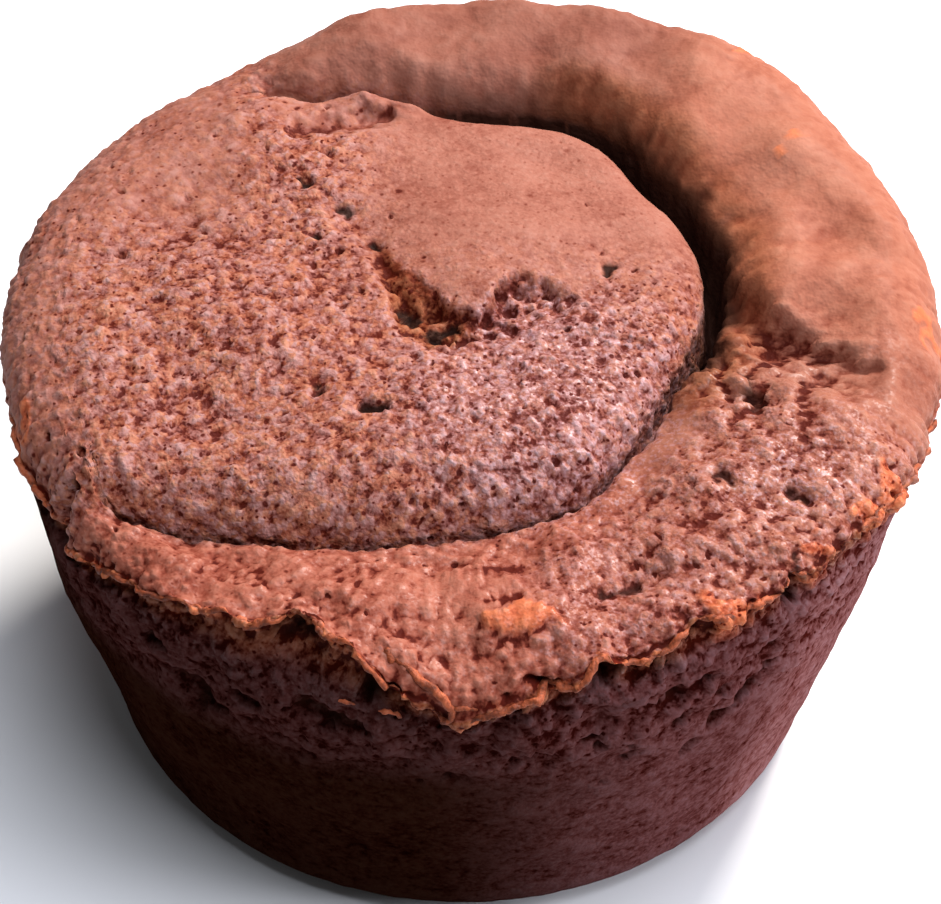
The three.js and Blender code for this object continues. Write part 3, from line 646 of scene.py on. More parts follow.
fine = np.maximum(fine_back, 0.65 * far_left) * is_top * (1 - beyond_crack)
print("porous share of the points:", round(float(porous.mean()), 3))

# %% Painted shade inside the crack, in pits and in gashes
SHADED_ARC = (-25, 92, 15)
SHADED_DOME_ARC = (-15, 88, 15)
LESS_SHADED_ARC = (66, 110, 12)
PIT_LEAST_DEPTH = -0.38        # strokes this deep and this narrow are open pits, dark inside
PIT_MOST_WIDTH = 0.6
PIT_FADE = (0.42, 0.72)
GASH_FADE = (0.35, 0.9)        # millimetres deep
FULLY_DARK_DEPTH = 3           # where the crack is shallower than this, its shade is weaker
# gap is painted shade: across the open crack, on its deep outer side, on the collar's inner face, in pits and
# in gashes
across_crack = np.sin(math.pi * np.clip(skin_share, 0, 1)).clip(0, 1) ** 0.4
gap = np.where(skin_zone == "crack", across_crack, 0) * crack_is_open
outer_side = np.where((skin_zone == "crack") & (skin_share > 0.5), 0.95, 0)
gap = np.maximum(gap, outer_side * in_arc(*SHADED_ARC))
shade_end = 0.36 + 0.12 * swell(x, y, z, 3, 51) + 0.06 * swell(x, y, z, 1.2, 52)
in_shade = start_of_zone("inner", 0.04, shade_end) * in_arc(*SHADED_ARC)
in_shade = np.maximum(in_shade, along_zone("shoulder", 0.75, 1) * in_arc(*SHADED_DOME_ARC) * 0.7)
in_shade = in_shade * (1 - 0.4 * in_arc(*LESS_SHADED_ARC))
gap = np.maximum(gap, in_shade * 0.93)
gap = gap * np.clip(around(skin_azimuth, CRACK_DEPTH) / FULLY_DARK_DEPTH, 0, 1)
pit_shade = np.zeros(len(skin_points))
pit_x, pit_y = astray(x, y)
for ax, ay, bx, by, wide, height in TOP_STROKES:
    if height <= PIT_LEAST_DEPTH and wide <= PIT_MOST_WIDTH:
        strength = under_stroke(pit_x, pit_y, ax, ay, bx, by, wide)
        pit_shade = np.maximum(pit_shade, smooth(*PIT_FADE, strength) * is_top)
gap = np.maximum(gap, pit_shade * (1 - 0.25 * beyond_crack))
on_wall = np.isin(skin_zone, ["wall", "under"])
gap = np.maximum(gap, 0.8 * smooth(*GASH_FADE, -wall_relief(skin_azimuth, z)) * on_wall)
print("dark share of the points:", round(float(gap.mean()), 3))

# %% The crater's torn side, the collar's inner face and the lip
INNER_FACE_ARC = (-25, 70, 12)
LIP_ARC = (200, 335, 12)
DARK_EDGE_ARC = (208, 318, 14)
EDGE_FACE = (0.4, 0.5)         # how far in front of the crater's edge its red face is, and its width
crater_bowl = crater_depth(x, y) / FLANK_DEPTH * is_top * smooth(*CRATER_MIDDLE, x)
before_edge = through(x, CRATER_EDGE) + waves(EDGE_WAVES, x, y, 0) - y
before_front = y - through(x, CRATER_FRONT) - waves(CRATER_WAVES, x, y, 0)
edge_face = np.exp(-((before_edge - EDGE_FACE[0]) / EDGE_FACE[1]) ** 2)
edge_face = edge_face * smooth(-7, -4.5, x) * (1 - smooth(5, 8, x)) * is_top
edge_face = edge_face * (1 - 0.45 * smooth(1.2, 2.6, x))
on_flank = smooth(-0.1, 0.3, before_edge) * smooth(0.2, 1.8, before_front)
on_flank = on_flank * smooth(-7.5, -5.5, x) * (1 - smooth(-0.6, 1.2, x))
torn = np.maximum(on_flank * is_top, torn_band * ~is_top)
torn = np.maximum(torn, 0.75 * (start_of_zone("inner", 0.35, 0.6) * in_arc(*INNER_FACE_ARC)))
lip = np.where(skin_zone == "frill", 1.0, along_zone("outer", 0.94, 1) + start_of_zone("under", 0, 0.25))
lip = lip * in_arc(*LIP_ARC)
edge_dark = along_zone("outer", 0.62, 0.97) * in_arc(*DARK_EDGE_ARC)
print("torn share of the points:", round(float(torn.mean()), 3))

# %% Moist places and painted sheen, brown places and painted shade, painted light and shade on the wall
SHEEN_AND_MOIST_SPOTS = [(6.8, -10, 11, 11), (23, -16.5, 6, 5), (4.5, -2, 5, 3)]
MOIST_FADE = (0.5, 1.3)
SHADED_WALL_ARC = (205, 262, 45)
LIT_WALL_ARC = (322, 420, 14)
ORANGE_AND_LIT_ARC = (-35, 75, 35)
BROWN_BACK_ARC = (66, 118, 20)
SHADED_CRACK_LIP_ARC = (-25, 62, 12)
SHADED_RIGHT_LEDGE_ARC = (318, 345, 14)
# moist places get a glossy coat, and a painted cool sheen in their colour
moist = np.zeros(len(skin_points))
for spot in SHEEN_AND_MOIST_SPOTS:
    moist = np.maximum(moist, in_spot(*spot, *MOIST_FADE))
moist = np.maximum(moist * (1 - 0.6 * fine_back), smooth(0.2, 0.6, crater_bowl)) * is_top
moist = np.maximum(moist, 0.6 * torn_band * ~is_top)
moist = np.maximum(moist, 0.5 * open_ledge)
# painted shade on the wall's left and front, which the lamps leave dark; less of it in the torn band
baked_dark = in_arc(*SHADED_WALL_ARC) * (1 - 0.4 * torn_band)
# painted light on the wall's right, where the window lamp falls on it
lit_wall = in_arc(*LIT_WALL_ARC)
# the collar's orange on its right and back: crust colour, and partly painted warm light where the key lamp
# falls
warm = beyond_crack * in_arc(*ORANGE_AND_LIT_ARC) * is_top
# painted shade: the collar beside the crack is browned as the furrow's shade
near_crack = in_arc(*SHADED_CRACK_LIP_ARC) * (1 - smooth(1, 4.5, past_crack))
brown = np.maximum(in_arc(*BROWN_BACK_ARC), near_crack * 0.8) * beyond_crack
brown = np.maximum(brown, 0.7 * crumbly)
# painted shade on the front right of the ledge, against the window lamp's light
brown = np.maximum(brown, 0.5 * in_arc(*SHADED_RIGHT_LEDGE_ARC) * beyond_crack)
brown = brown * (1 - open_ledge)
print("moist share of the points:", round(float(moist.mean()), 3))

# %% Bright flakes of crust, in plan: (x, y, half length along x, half length along y) in millimetres
FLAKES = [(25.2, 15.8, 1.0, 0.8), (34.3, -1.0, 0.9, 2.2), (21.9, 26.1, 1.4, 0.8), (4.0, -28.5, 2.6, 1.3),
          (28.4, -19, 1.0, 1.0), (24.8, -22.8, 1.4, 1.0), (18.6, -27.9, 2.2, 0.9), (30.3, -16.8, 1.2, 1.2),
          (-32.6, -10.5, 0.8, 2.4), (-31.8, -13.6, 0.7, 1.0)]
FLAKE_FADE = (0.82, 1.08)
FLAKE_STRAY = 0.8
FLAKE_STRAY_SIZE = 2.2
ragged_x = x + FLAKE_STRAY * swell(x, y, z, FLAKE_STRAY_SIZE, 11)
ragged_y = y + FLAKE_STRAY * swell(x, y, z, FLAKE_STRAY_SIZE, 12)
flake = np.zeros(len(skin_points))
for flake_x, flake_y, half_x, half_y in FLAKES:
    away = np.hypot((ragged_x - flake_x) / half_x, (ragged_y - flake_y) / half_y)
    flake = np.maximum(flake, (1 - smooth(*FLAKE_FADE, away)) * (wall_depth < 0.5))
collar = beyond_crack * is_top * (1 - 0.35 * open_ledge)
skin_paint = {"porous": porous, "knobby": knobby, "warm": warm, "gap": gap, "lip": lip, "torn": torn,
              "wall": wall_depth, "flake": flake, "moist": moist, "baked_dark": baked_dark,
              "even_crust": even_crust, "grainy": grainy, "brown": brown, "ledge": ledge,
              "lit_wall": lit_wall, "edge_face": edge_face, "rugged": crumbly, "edge_dark": edge_dark,
              "fine": fine, "collar": collar}
print("painted:", ", ".join(skin_paint))

# %% [markdown]
# ## From numbers to a mesh
# `foreach_set` fills a mesh much faster than a loop in Python. The finished object sits at the
# origin, and its place is in its points.

# %% Make the skin's mesh
def paint_on(mesh, paint):
    """Stores arrays on the vertices of a mesh, each under its name."""
    for name, values in paint.items():
        layer = mesh.attributes.new(name, "FLOAT", "POINT")
        layer.data.foreach_set("value", np.asarray(values, np.float32))


def mesh_from(name, points_mm, triangles, paint):
    mesh = bpy.data.meshes.new(name)
    mesh.vertices.add(len(points_mm))
    mesh.vertices.foreach_set("co", (np.asarray(points_mm) * MM).ravel())
    mesh.loops.add(len(triangles) * 3)
    mesh.loops.foreach_set("vertex_index", np.asarray(triangles, np.int32).ravel())
    mesh.polygons.add(len(triangles))
    mesh.polygons.foreach_set("loop_start", np.arange(len(triangles), dtype=np.int32) * 3)
    mesh.update(calc_edges=True)
    mesh.validate()
    paint_on(mesh, paint)
    mesh.shade_smooth()
    return mesh


skin_mesh = mesh_from("cake_skin_rings", skin_points, skin_triangles, skin_paint)
rings_object = new_object("cake_skin_rings", skin_mesh)
print("mesh:", len(skin_mesh.vertices), "points,", len(skin_mesh.polygons), "faces")

# %% [markdown]
# ## Node trees as Python expressions
# A tree of twenty Math nodes is hard to read, so a small class wraps a socket and turns
# arithmetic into Math nodes. Everything else comes from one method, `add`, that takes the type
# of a node, its settings and what goes into its sockets. The same class serves Geometry Nodes
# and materials.

# %% A socket with arithmetic
class Socket:
    """An output of a node. Arithmetic on it adds Math nodes to its tree."""

    def __init__(self, tree, node, output):
        self.tree = tree
        self.node = node
        self.output = output

    def other(self, name):
        """Another output of the same node."""
        return Socket(self.tree, self.node, self.node.outputs[name])

    def math(self, operation, *values):
        inputs = dict(enumerate((self,) + values))
        return self.tree.add("ShaderNodeMath", {"operation": operation}, inputs)

    def __add__(self, value):
        return self.math("ADD", value)

    def __sub__(self, value):
        return self.math("SUBTRACT", value)

    def __mul__(self, value):
        return self.math("MULTIPLY", value)

    def __rsub__(self, value):
        return self.tree.add("ShaderNodeMath", {"operation": "SUBTRACT"}, {0: value, 1: self})

    __radd__ = __add__
    __rmul__ = __mul__

    def at_least(self, value):
        return self.math("MAXIMUM", value)

    def at_most(self, value):
        return self.math("MINIMUM", value)

    def between(self, low, high):
        """A smooth step: 0 at low and 1 at high, or the other way round where low is the larger."""
        settings = {"interpolation_type": "SMOOTHSTEP"}
        if low > high:
            return self.tree.add("ShaderNodeMapRange", settings, {0: self, 1: high, 2: low, 3: 1.0, 4: 0.0})
        return self.tree.add("ShaderNodeMapRange", settings, {0: self, 1: low, 2: high, 3: 0.0, 4: 1.0})


class Tree:
    """A node tree that is built by calling add."""

    def __init__(self, nodes):
        self.nodes = nodes.nodes
        self.links = nodes.links

    def feed(self, socket, value):
        if isinstance(value, Socket):
            self.links.new(value.output, socket)
        else:
            socket.default_value = value

    def add(self, kind, settings=None, inputs=None, output=0):
        node = self.nodes.new(kind)
        for name, value in (settings or {}).items():
            if name == "stops":
                self.fill_ramp(node.color_ramp, value)
            else:
                setattr(node, name, value)
        for name, value in (inputs or {}).items():
            self.feed(node.inputs[name], value)
        return Socket(self, node, node.outputs[output]) if node.outputs else node

    def fill_ramp(self, ramp, stops):
        """Gives a colour ramp its stops, each a place from 0 to 1 and a colour."""
        ramp.elements[0].position, ramp.elements[0].color = stops[0]
        ramp.elements[1].position, ramp.elements[1].color = stops[-1]
        for place, colour in stops[1:-1]:
            ramp.elements.new(place).color = colour

    def vector(self, operation, *values, scale=None):
        inputs = dict(enumerate(values))
        if scale is not None:
            inputs["Scale"] = scale
        output = "Value" if operation in ("DISTANCE", "LENGTH", "DOT_PRODUCT") else "Vector"
        return self.add("ShaderNodeVectorMath", {"operation": operation}, inputs, output)

    def noise(self, place, size_mm, detail=2.0, roughness=0.5, output=0):
        """Noise whose largest features are about size_mm across, from 0 to 1."""
        inputs = {"Vector": place, "Scale": 1 / (size_mm * MM), "Detail": detail, "Roughness": roughness}
        return self.add("ShaderNodeTexNoise", None, inputs, output)

    def per_metre(self, size):
        """How many features of a size in metres, given by a socket, fit in a metre."""
        return self.add("ShaderNodeMath", {"operation": "DIVIDE"}, {0: 1.0, 1: size})

    def sized_noise(self, place, size, detail=1.0, output=0):
        """Noise whose size comes from a socket, so that it can be changed on the modifier."""
        inputs = {"Vector": place, "Scale": self.per_metre(size), "Detail": detail}
        return self.add("ShaderNodeTexNoise", None, inputs, output)

    def voronoi(self, place, size_mm):
        """Cells of about size_mm: the distance to the nearest middle, and a colour for each cell."""
        inputs = {"Vector": place, "Scale": 1 / (size_mm * MM)}
        return self.add("ShaderNodeTexVoronoi", {"feature": "F1"}, inputs)

    def channels(self, colour):
        """The red channel of a colour; its other channels are other outputs."""
        return self.add("ShaderNodeSeparateColor", None, {"Color": colour})

    def named(self, name):
        """A named attribute of the geometry that is being worked on."""
        return self.add("GeometryNodeInputNamedAttribute", {"data_type": "FLOAT"}, {"Name": name})

    def keep(self, geometry, name, value):
        """Stores a value on the points of a geometry under a name."""
        settings = {"data_type": "FLOAT", "domain": "POINT"}
        inputs = {"Geometry": geometry, "Name": name, "Value": value}
        return self.add("GeometryNodeStoreNamedAttribute", settings, inputs)

    def move(self, geometry, offset):
        return self.add("GeometryNodeSetPosition", None, {"Geometry": geometry, "Offset": offset})

    def blend(self, factor, first, second):
        """The first colour where factor is 0, the second where it is 1."""
        return self.add("ShaderNodeMix", {"data_type": "RGBA"}, {0: factor, 6: first, 7: second}, 2)

    def times(self, first, second):
        """Two colours multiplied."""
        settings = {"data_type": "RGBA", "blend_type": "MULTIPLY"}
        return self.add("ShaderNodeMix", settings, {0: 1.0, 6: first, 7: second}, 2)


print("node helpers ready")

# %% [markdown]
# ## Crumb and pores as Geometry Nodes
# Baking leaves the skin lumpy, and bursting bubbles leave pores: many small hollows of one
# kind that follow the surface. So a tree lifts and lowers the skin with noise along its
# normals. It then scatters points where `porous` is high, and sinks every vertex that is
# near one of them. Two layers of points make large and small pores. A last step measures how
# hollow each place is against its smoothed surroundings, for the material.

# %% The tree of the crumb
CRUMB_INPUTS = {               # name: value; lengths are in metres
    "lump height": 0.30 * MM, "lump size": 1.7 * MM, "grain height": 0.17 * MM, "grain size": 0.75 * MM,
    "granule height": 0.24 * MM, "granule size": 0.80 * MM, "knob height": 0.50 * MM, "knob size": 3.0 * MM,
    "flake height": 0.22 * MM,
    "large pore": 0.42 * MM, "large pores per area": 0.016 / MM ** 2,
    "small pore": 0.24 * MM, "small pores per area": 0.30 / MM ** 2,
}


def new_group(name, geometry, sizes, others):
    """A group with one geometry in and out, an input for each size, and other inputs with their types."""
    group = bpy.data.node_groups.new(name, "GeometryNodeTree")
    group.interface.new_socket(geometry, in_out="INPUT", socket_type="NodeSocketGeometry")
    for size in sizes:
        group.interface.new_socket(size, in_out="INPUT", socket_type="NodeSocketFloat")
    for other, kind in others.items():
        group.interface.new_socket(other, in_out="INPUT", socket_type=kind)
    group.interface.new_socket(geometry, in_out="OUTPUT", socket_type="NodeSocketGeometry")
    return group


# %% One layer of pores
PORE_SPREAD = (0.55, 1.25)     # smallest and largest pore, against the radius that is given
PORE_WARP = 0.9                # the pores' outlines stray by up to half of this, in millimetres
PORE_WARP_SIZE = 0.9
PORE_DEPTH = 1.5               # a pore's depth against its radius


def sink_pores(tree, skin, pore_radius, per_area, porous_field, gap_mm, seed):
    """Scatters pore middles on the skin and sinks the vertices near them. Returns skin and pore mask."""
    scatter = tree.add("GeometryNodeDistributePointsOnFaces", {"distribute_method": "POISSON"}, {
        "Mesh": skin, "Distance Min": gap_mm * MM, "Density Max": per_area,
        "Density Factor": porous_field, "Seed": seed})
    smallest, largest = PORE_SPREAD
    size = tree.add("FunctionNodeRandomValue", {"data_type": "FLOAT"},
                    {2: smallest, 3: largest, "Seed": seed + 1}, 1)
    middles = tree.keep(scatter, "pore_size", size)
    position = tree.add("GeometryNodeInputPosition")
    warp = tree.noise(position, PORE_WARP_SIZE, detail=1.0, output=1)
    warp = tree.vector("SUBTRACT", warp, (0.5, 0.5, 0.5))
    warped = tree.vector("ADD", position, tree.vector("SCALE", warp, scale=PORE_WARP * MM))
    nearest = tree.add("GeometryNodeSampleNearest", {"domain": "POINT"},
                       {"Geometry": middles, "Sample Position": warped})
    middle = tree.add("GeometryNodeSampleIndex", {"data_type": "FLOAT_VECTOR", "domain": "POINT"}, {
        "Geometry": middles, "Value": position, "Index": nearest})
    size_there = tree.add("GeometryNodeSampleIndex", {"data_type": "FLOAT", "domain": "POINT"}, {
        "Geometry": middles, "Value": tree.named("pore_size"), "Index": nearest})
    width = size_there * pore_radius
    share = tree.vector("DISTANCE", warped, middle).math("DIVIDE", width)
    pore = share.between(1.0, 0.25)
    normal = tree.add("GeometryNodeInputNormal")
    return tree.move(skin, tree.vector("SCALE", normal, scale=pore * width * -PORE_DEPTH)), pore


# %% The whole tree of the crumb
PORE_LAYERS = {"large": (1.6, 4), "small": (0.75, 9)}   # least distance in millimetres, and seed
HOLLOW_REFERENCE = 0.10 * MM   # a vertex this far below its surroundings counts as fully hollow
SURROUNDINGS = 5               # how many edges away its surroundings reach
WALL_SHARE = 0.3               # faces with more `wall` than this get the wall's material
GRANULE_WARP = 0.8             # the granules' outlines stray by up to half of this, in millimetres
GRANULE_WARP_SIZE = 0.8
GRANULE_BLUR = 0.4             # how softly neighbouring granules run into each other
# how much rougher or smoother each kind of place is
ROUGHER = {"torn": 0.6, "rugged": 0.8, "porous wall": 0.9, "rugged knobs": 1.3}
SMOOTHER = {"wall": 0.8, "fine": 0.72, "even_crust": 0.5, "ledge": 0.45}


def crumb_rise(tree, given, position):
    """How far lumps, grain, granules, knobs and flakes lift each vertex, and the granules."""
    lumps = tree.sized_noise(position, given.other("lump size"))
    grains = tree.sized_noise(position, given.other("grain size"))
    rise = (lumps - 0.5) * 2 * given.other("lump height") + (grains - 0.5) * 2 * given.other("grain height")
    warp = tree.vector("SCALE", tree.noise(position, GRANULE_WARP_SIZE, output=1), scale=GRANULE_WARP * MM)
    cells = tree.add("ShaderNodeTexVoronoi", {"feature": "SMOOTH_F1"}, {
        "Vector": tree.vector("ADD", position, warp), "Scale": tree.per_metre(given.other("granule size")),
        "Smoothness": GRANULE_BLUR})
    granules = cells.between(0.7, 0.05) * (0.55 + lumps.between(0.35, 0.65) * 0.6)
    knobs = tree.sized_noise(position, given.other("knob size"))
    knobs = (knobs - 0.5) * 2 * given.other("knob height")
    knobs = knobs * (tree.named("ledge") + tree.named("rugged") * ROUGHER["rugged knobs"])
    rise = rise * (1 - tree.named("ledge") * SMOOTHER["ledge"]) + knobs
    return rise + tree.named("flake") * given.other("flake height"), granules


def crumb_tree():
    group = new_group("crumb and pores", "Skin", CRUMB_INPUTS, {
        "crumb material": "NodeSocketMaterial", "wall material": "NodeSocketMaterial"})
    tree = Tree(group)
    given = tree.add("NodeGroupInput")
    position = tree.add("GeometryNodeInputPosition")
    normal = tree.add("GeometryNodeInputNormal")
    wall = tree.named("wall")
    porous_here = tree.named("porous")
    rough_share = 1 - wall * SMOOTHER["wall"] + wall * porous_here * ROUGHER["porous wall"]
    rough_share = rough_share.at_most(1.0)
    for name in ("torn", "rugged"):
        rough_share = rough_share + tree.named(name) * ROUGHER[name]
    for name in ("fine", "even_crust"):
        rough_share = rough_share * (1 - tree.named(name) * SMOOTHER[name])
    rise, granules = crumb_rise(tree, given, position)
    skin = tree.keep(given.other("Skin"), "granule", granules)
    rise = rise + (tree.named("granule") - 0.4) * given.other("granule height") * tree.named("knobby")
    skin = tree.move(skin, tree.vector("SCALE", normal, scale=rise * rough_share))
    for layer, (gap_mm, seed) in PORE_LAYERS.items():
        where = porous_here * porous_here if layer == "large" else porous_here
        skin, pore = sink_pores(tree, skin, given.other(layer + " pore"),
                                given.other(layer + " pores per area"), where, gap_mm, seed)
        skin = tree.keep(skin, layer + "_pore", pore)
    around_it = tree.add("GeometryNodeBlurAttribute", {"data_type": "FLOAT_VECTOR"},
                         {"Value": position, "Iterations": SURROUNDINGS})
    lowness = tree.vector("DOT_PRODUCT", tree.vector("SUBTRACT", around_it, position), normal)
    skin = tree.keep(skin, "hollow", lowness.math("DIVIDE", HOLLOW_REFERENCE))
    skin = tree.add("GeometryNodeRealizeInstances", None, {"Geometry": skin})
    skin = tree.add("GeometryNodeSetMaterial", None,
                    {"Geometry": skin, "Material": given.other("crumb material")})
    on_wall = tree.add("FunctionNodeCompare", {"data_type": "FLOAT", "operation": "GREATER_THAN"},
                       {0: wall, 1: WALL_SHARE})
    skin = tree.add("GeometryNodeSetMaterial", None, {
        "Geometry": skin, "Selection": on_wall, "Material": given.other("wall material")})
    tree.add("NodeGroupOutput", None, {"Skin": skin})
    return group


print("crumb inputs:", ", ".join(CRUMB_INPUTS))

# %% [markdown]
# ## Chocolate crumb and crust as a material
# Baked chocolate batter is matt and brown, redder where it is dry and orange where the crust is
# thin. It is nearly black in its pores and where fat has baked it dark against the tin. First
# every point gets a tone, from the depth of a pore to the top of a crumb, out of noise at three
# sizes, granules, and pores too small for the mesh. A ramp turns the tone into a shade, which is
# multiplied by the colour of the place, painted on the skin. The same patterns drive the bump,
# and a thin coat gives the moist crumbs their shine.

# %% Colours of the cake
# each is the palest tone of its place; the tone ramp darkens it towards red
DOME_ORANGE = (0.345, 0.146, 0.090, 1)
DOME_PINK = (0.325, 0.184, 0.176, 1)
DOME_FINE = (0.302, 0.138, 0.100, 1)
LEDGE_RED = (0.315, 0.118, 0.078, 1)
COLLAR_ORANGE = (0.325, 0.138, 0.088, 1)
# brown of the collar's back and crumbly hollow, and painted shade beside the crack and on the front right
COLLAR_BROWN_AND_SHADE = (0.245, 0.108, 0.076, 1)
# the painted cool sheen of moist crumb
PAINTED_COOL_SHEEN = (0.36, 0.21, 0.24, 1)
FLAKE_ORANGE = (0.50, 0.150, 0.062, 1)
TORN_OLIVE = (0.25, 0.090, 0.038, 1)
EDGE_RED = (0.150, 0.032, 0.014, 1)
# the near-black of the painted shade in the crack, pits and gashes
PAINTED_SHADE_DARK = (0.014, 0.005, 0.003, 1)
# the wall's left side in painted shade
WALL_IN_PAINTED_SHADE = (0.022, 0.0080, 0.0045, 1)
WALL_RED = (0.130, 0.058, 0.061, 1)
# the wall's right side in painted light
WALL_PAINTED_LIGHT = (0.225, 0.112, 0.117, 1)
TONE_STOPS = [(0.0, (0.19, 0.05, 0.036, 1)), (0.2, (0.50, 0.28, 0.24, 1)), (0.5, (0.82, 0.65, 0.605, 1)),
              (0.75, (0.94, 0.86, 0.84, 1)), (1.0, (1, 1, 1, 1))]
print("shades in the tone ramp:", len(TONE_STOPS))

# %% Sizes and strengths of the patterns
SIZES = {"patches": 5.0, "crumbs": 0.9, "specks": 0.35, "granules": 0.42, "hue": 1.3, "stray": 0.6}  # mm
STRAY = 0.22                   # how far the granules' outlines stray, in millimetres
PIN_PORES = [(1.0, 0.32, 0.8), (0.52, 0.38, 0.85)]   # cell in mm, largest radius, share with a pore
PIN_EDGE = 5                   # how sharp a pin pore's edge is
# how much the tone follows each pattern, and how much each hollow or mark darkens it; the hollows
# and pores darken as painted shade, and raised places lighten as painted light
FOLLOWS = {"crumbs": 0.85, "specks": 0.9, "patches": 0.6, "granules": 0.35, "chance": 0.24, "lumps": 0.38,
           "raised": 0.15}
DARKER = {"hollow": 0.32, "ledge": 0.22, "pin": 0.80, "large": 0.7, "small": 0.5, "torn": 0.12, "edge": 0.22}
TONE_MIDDLE = 0.52
EVEN = {"fine": 0.78, "even_crust": 0.65, "ledge": 0.2}     # how even each of these places is
HEIGHTS = {"crumbs": 0.75, "specks": 0.36, "granules": 0.2}    # how much each adds to the bump
BUMP_STRENGTH = 0.8
BUMP_DISTANCE = 0.34           # millimetres
MATT = 0.64                    # middling roughness
COAT = {"moist": 0.5, "ledge": 0.35, "all": 0.04}              # weights of the thin glossy coat
COAT_ROUGHNESS = 0.4
CHOCOLATE_IOR = 1.45
print("pin pores in", len(PIN_PORES), "sizes")


# %% Patterns and tone
def new_material(name):
    """An empty material, its tree, and the place of each point on its object."""
    material = bpy.data.materials.new(name)
    material.use_nodes = True
    material.node_tree.nodes.clear()
    tree = Tree(material.node_tree)
    return material, tree, tree.add("ShaderNodeTexCoord").other("Object")


def pin_pores(tree, place):
    """1 in pores too small for the mesh, each of its own size within its cell."""
    pin = 0
    for cell_mm, largest, share in PIN_PORES:
        cells = tree.voronoi(place, cell_mm)
        pin_radius = (tree.channels(cells.other("Color")) - (1 - share)) * (largest / share)
        pin_here = ((pin_radius - cells) * PIN_EDGE).at_least(0.0).at_most(1.0)
        pin = pin_here if pin == 0 else pin.at_least(pin_here)
    return pin


def crumb_patterns(tree, place):
    """The noises, the granules and the chance of each granule, as sockets by name."""
    found = {name: tree.noise(place, SIZES[name], roughness=0.6) for name in ("patches", "specks")}
    found["crumbs"] = tree.noise(place, SIZES["crumbs"], roughness=0.65)
    stray = tree.vector("SCALE", tree.noise(place, SIZES["stray"], detail=0.0, output=1), scale=STRAY * MM)
    ragged_place = tree.vector("ADD", place, stray)
    cells = tree.voronoi(ragged_place, SIZES["granules"])
    found["granules"] = cells.between(0.7, 0.05) * found["crumbs"].between(0.25, 0.65)
    found["chance"] = tree.channels(cells.other("Color"))
    found["pin"] = pin_pores(tree, ragged_place)
    found["hue"] = tree.noise(place, SIZES["hue"], detail=1.0, roughness=0.6)
    return found


def crumb_tone(painted, pattern, even):
    """The tone of each point, from 0 in the pores to 1 on the tops of the crumbs. Hollows and pores
    get painted shade, raised places painted light.
    """
    rough_place = 1 - even
    grainy = painted("grainy")
    hollow = painted("hollow")
    tone = (pattern["crumbs"] - 0.5) * FOLLOWS["crumbs"] * rough_place
    tone = tone + (pattern["specks"] - 0.5) * FOLLOWS["specks"] * grainy
    tone = tone + (pattern["patches"] - 0.5) * FOLLOWS["patches"]
    tone = tone + (pattern["granules"] - 0.3) * FOLLOWS["granules"] * grainy
    tone = tone + (pattern["chance"] - 0.5) * FOLLOWS["chance"] * grainy
    tone = tone + (painted("granule") - 0.45) * FOLLOWS["lumps"] * rough_place
    # raised places lighten: painted light on the tops of the relief
    tone = tone + hollow.between(0.0, -1.0) * FOLLOWS["raised"] + TONE_MIDDLE
    # painted shade in the hollows of the relief, deeper on the ledge
    hollow_shade = hollow.between(0.15, 1.5) * (painted("ledge") * DARKER["ledge"] + DARKER["hollow"])
    tone = tone - hollow_shade * (1 - painted("even_crust") * 0.7) * (1 - painted("wall") * 0.5)
    # painted shade in pin pores, and below in the large and small pores of the mesh
    pin = pattern["pin"] * (painted("porous") + painted("fine") * 0.12)
    tone = tone - pin * DARKER["pin"] - painted("large_pore").between(0.3, 0.8) * DARKER["large"]
    tone = tone - painted("small_pore").between(0.3, 0.9) * DARKER["small"]
    return tone - painted("torn") * DARKER["torn"] - painted("edge_dark") * DARKER["edge"]


# %% Colour of each place
def place_colour(tree, painted, pattern):
    """The palest colour of each place, before its tone is multiplied in."""
    hue = pattern["hue"] * 0.65 + pattern["chance"].other("Green") * 0.35
    # moist places are also pinker, which is part of the painted sheen
    pinkness = (hue.between(0.38, 0.62) * 0.8 + painted("moist") * 0.4).at_most(1.0)
    crust = tree.blend(pinkness, DOME_ORANGE, DOME_PINK)
    crust = tree.blend(painted("fine"), crust, DOME_FINE)
    # orange crust, partly painted warm light on the collar's lit side
    collar_colour = tree.blend(painted("warm"), LEDGE_RED, COLLAR_ORANGE)
    # brown crust, and painted shade beside the crack and on the front right
    collar_colour = tree.blend(painted("brown"), collar_colour, COLLAR_BROWN_AND_SHADE)
    crust = tree.blend(painted("collar"), crust, collar_colour)
    crust = tree.blend(painted("torn") * 0.92, crust, TORN_OLIVE)
    # painted cool sheen on the pale specks of moist crumb
    painted_sheen = pattern["specks"].between(0.50, 0.66) * painted("moist") * (1 - painted("torn")) * 0.6
    crust = tree.blend(painted_sheen, crust, PAINTED_COOL_SHEEN)
    crust = tree.blend(painted("edge_face") * 0.85, crust, EDGE_RED)
    lip_edge = painted("lip") * pattern["crumbs"].between(0.44, 0.56)
    lip_edge = lip_edge * pattern["patches"].between(0.42, 0.54)
    flakes = (painted("flake") + lip_edge).at_most(1.0) * 0.85
    crust = tree.blend(flakes, crust, FLAKE_ORANGE)
    # painted light on the wall's right
    wall_colour = tree.blend(painted("lit_wall"), WALL_RED, WALL_PAINTED_LIGHT)
    # painted shade on the wall's left
    wall_colour = tree.blend(painted("baked_dark"), wall_colour, WALL_IN_PAINTED_SHADE)
    return tree.blend(painted("wall").between(0.05, 0.6), crust, wall_colour)


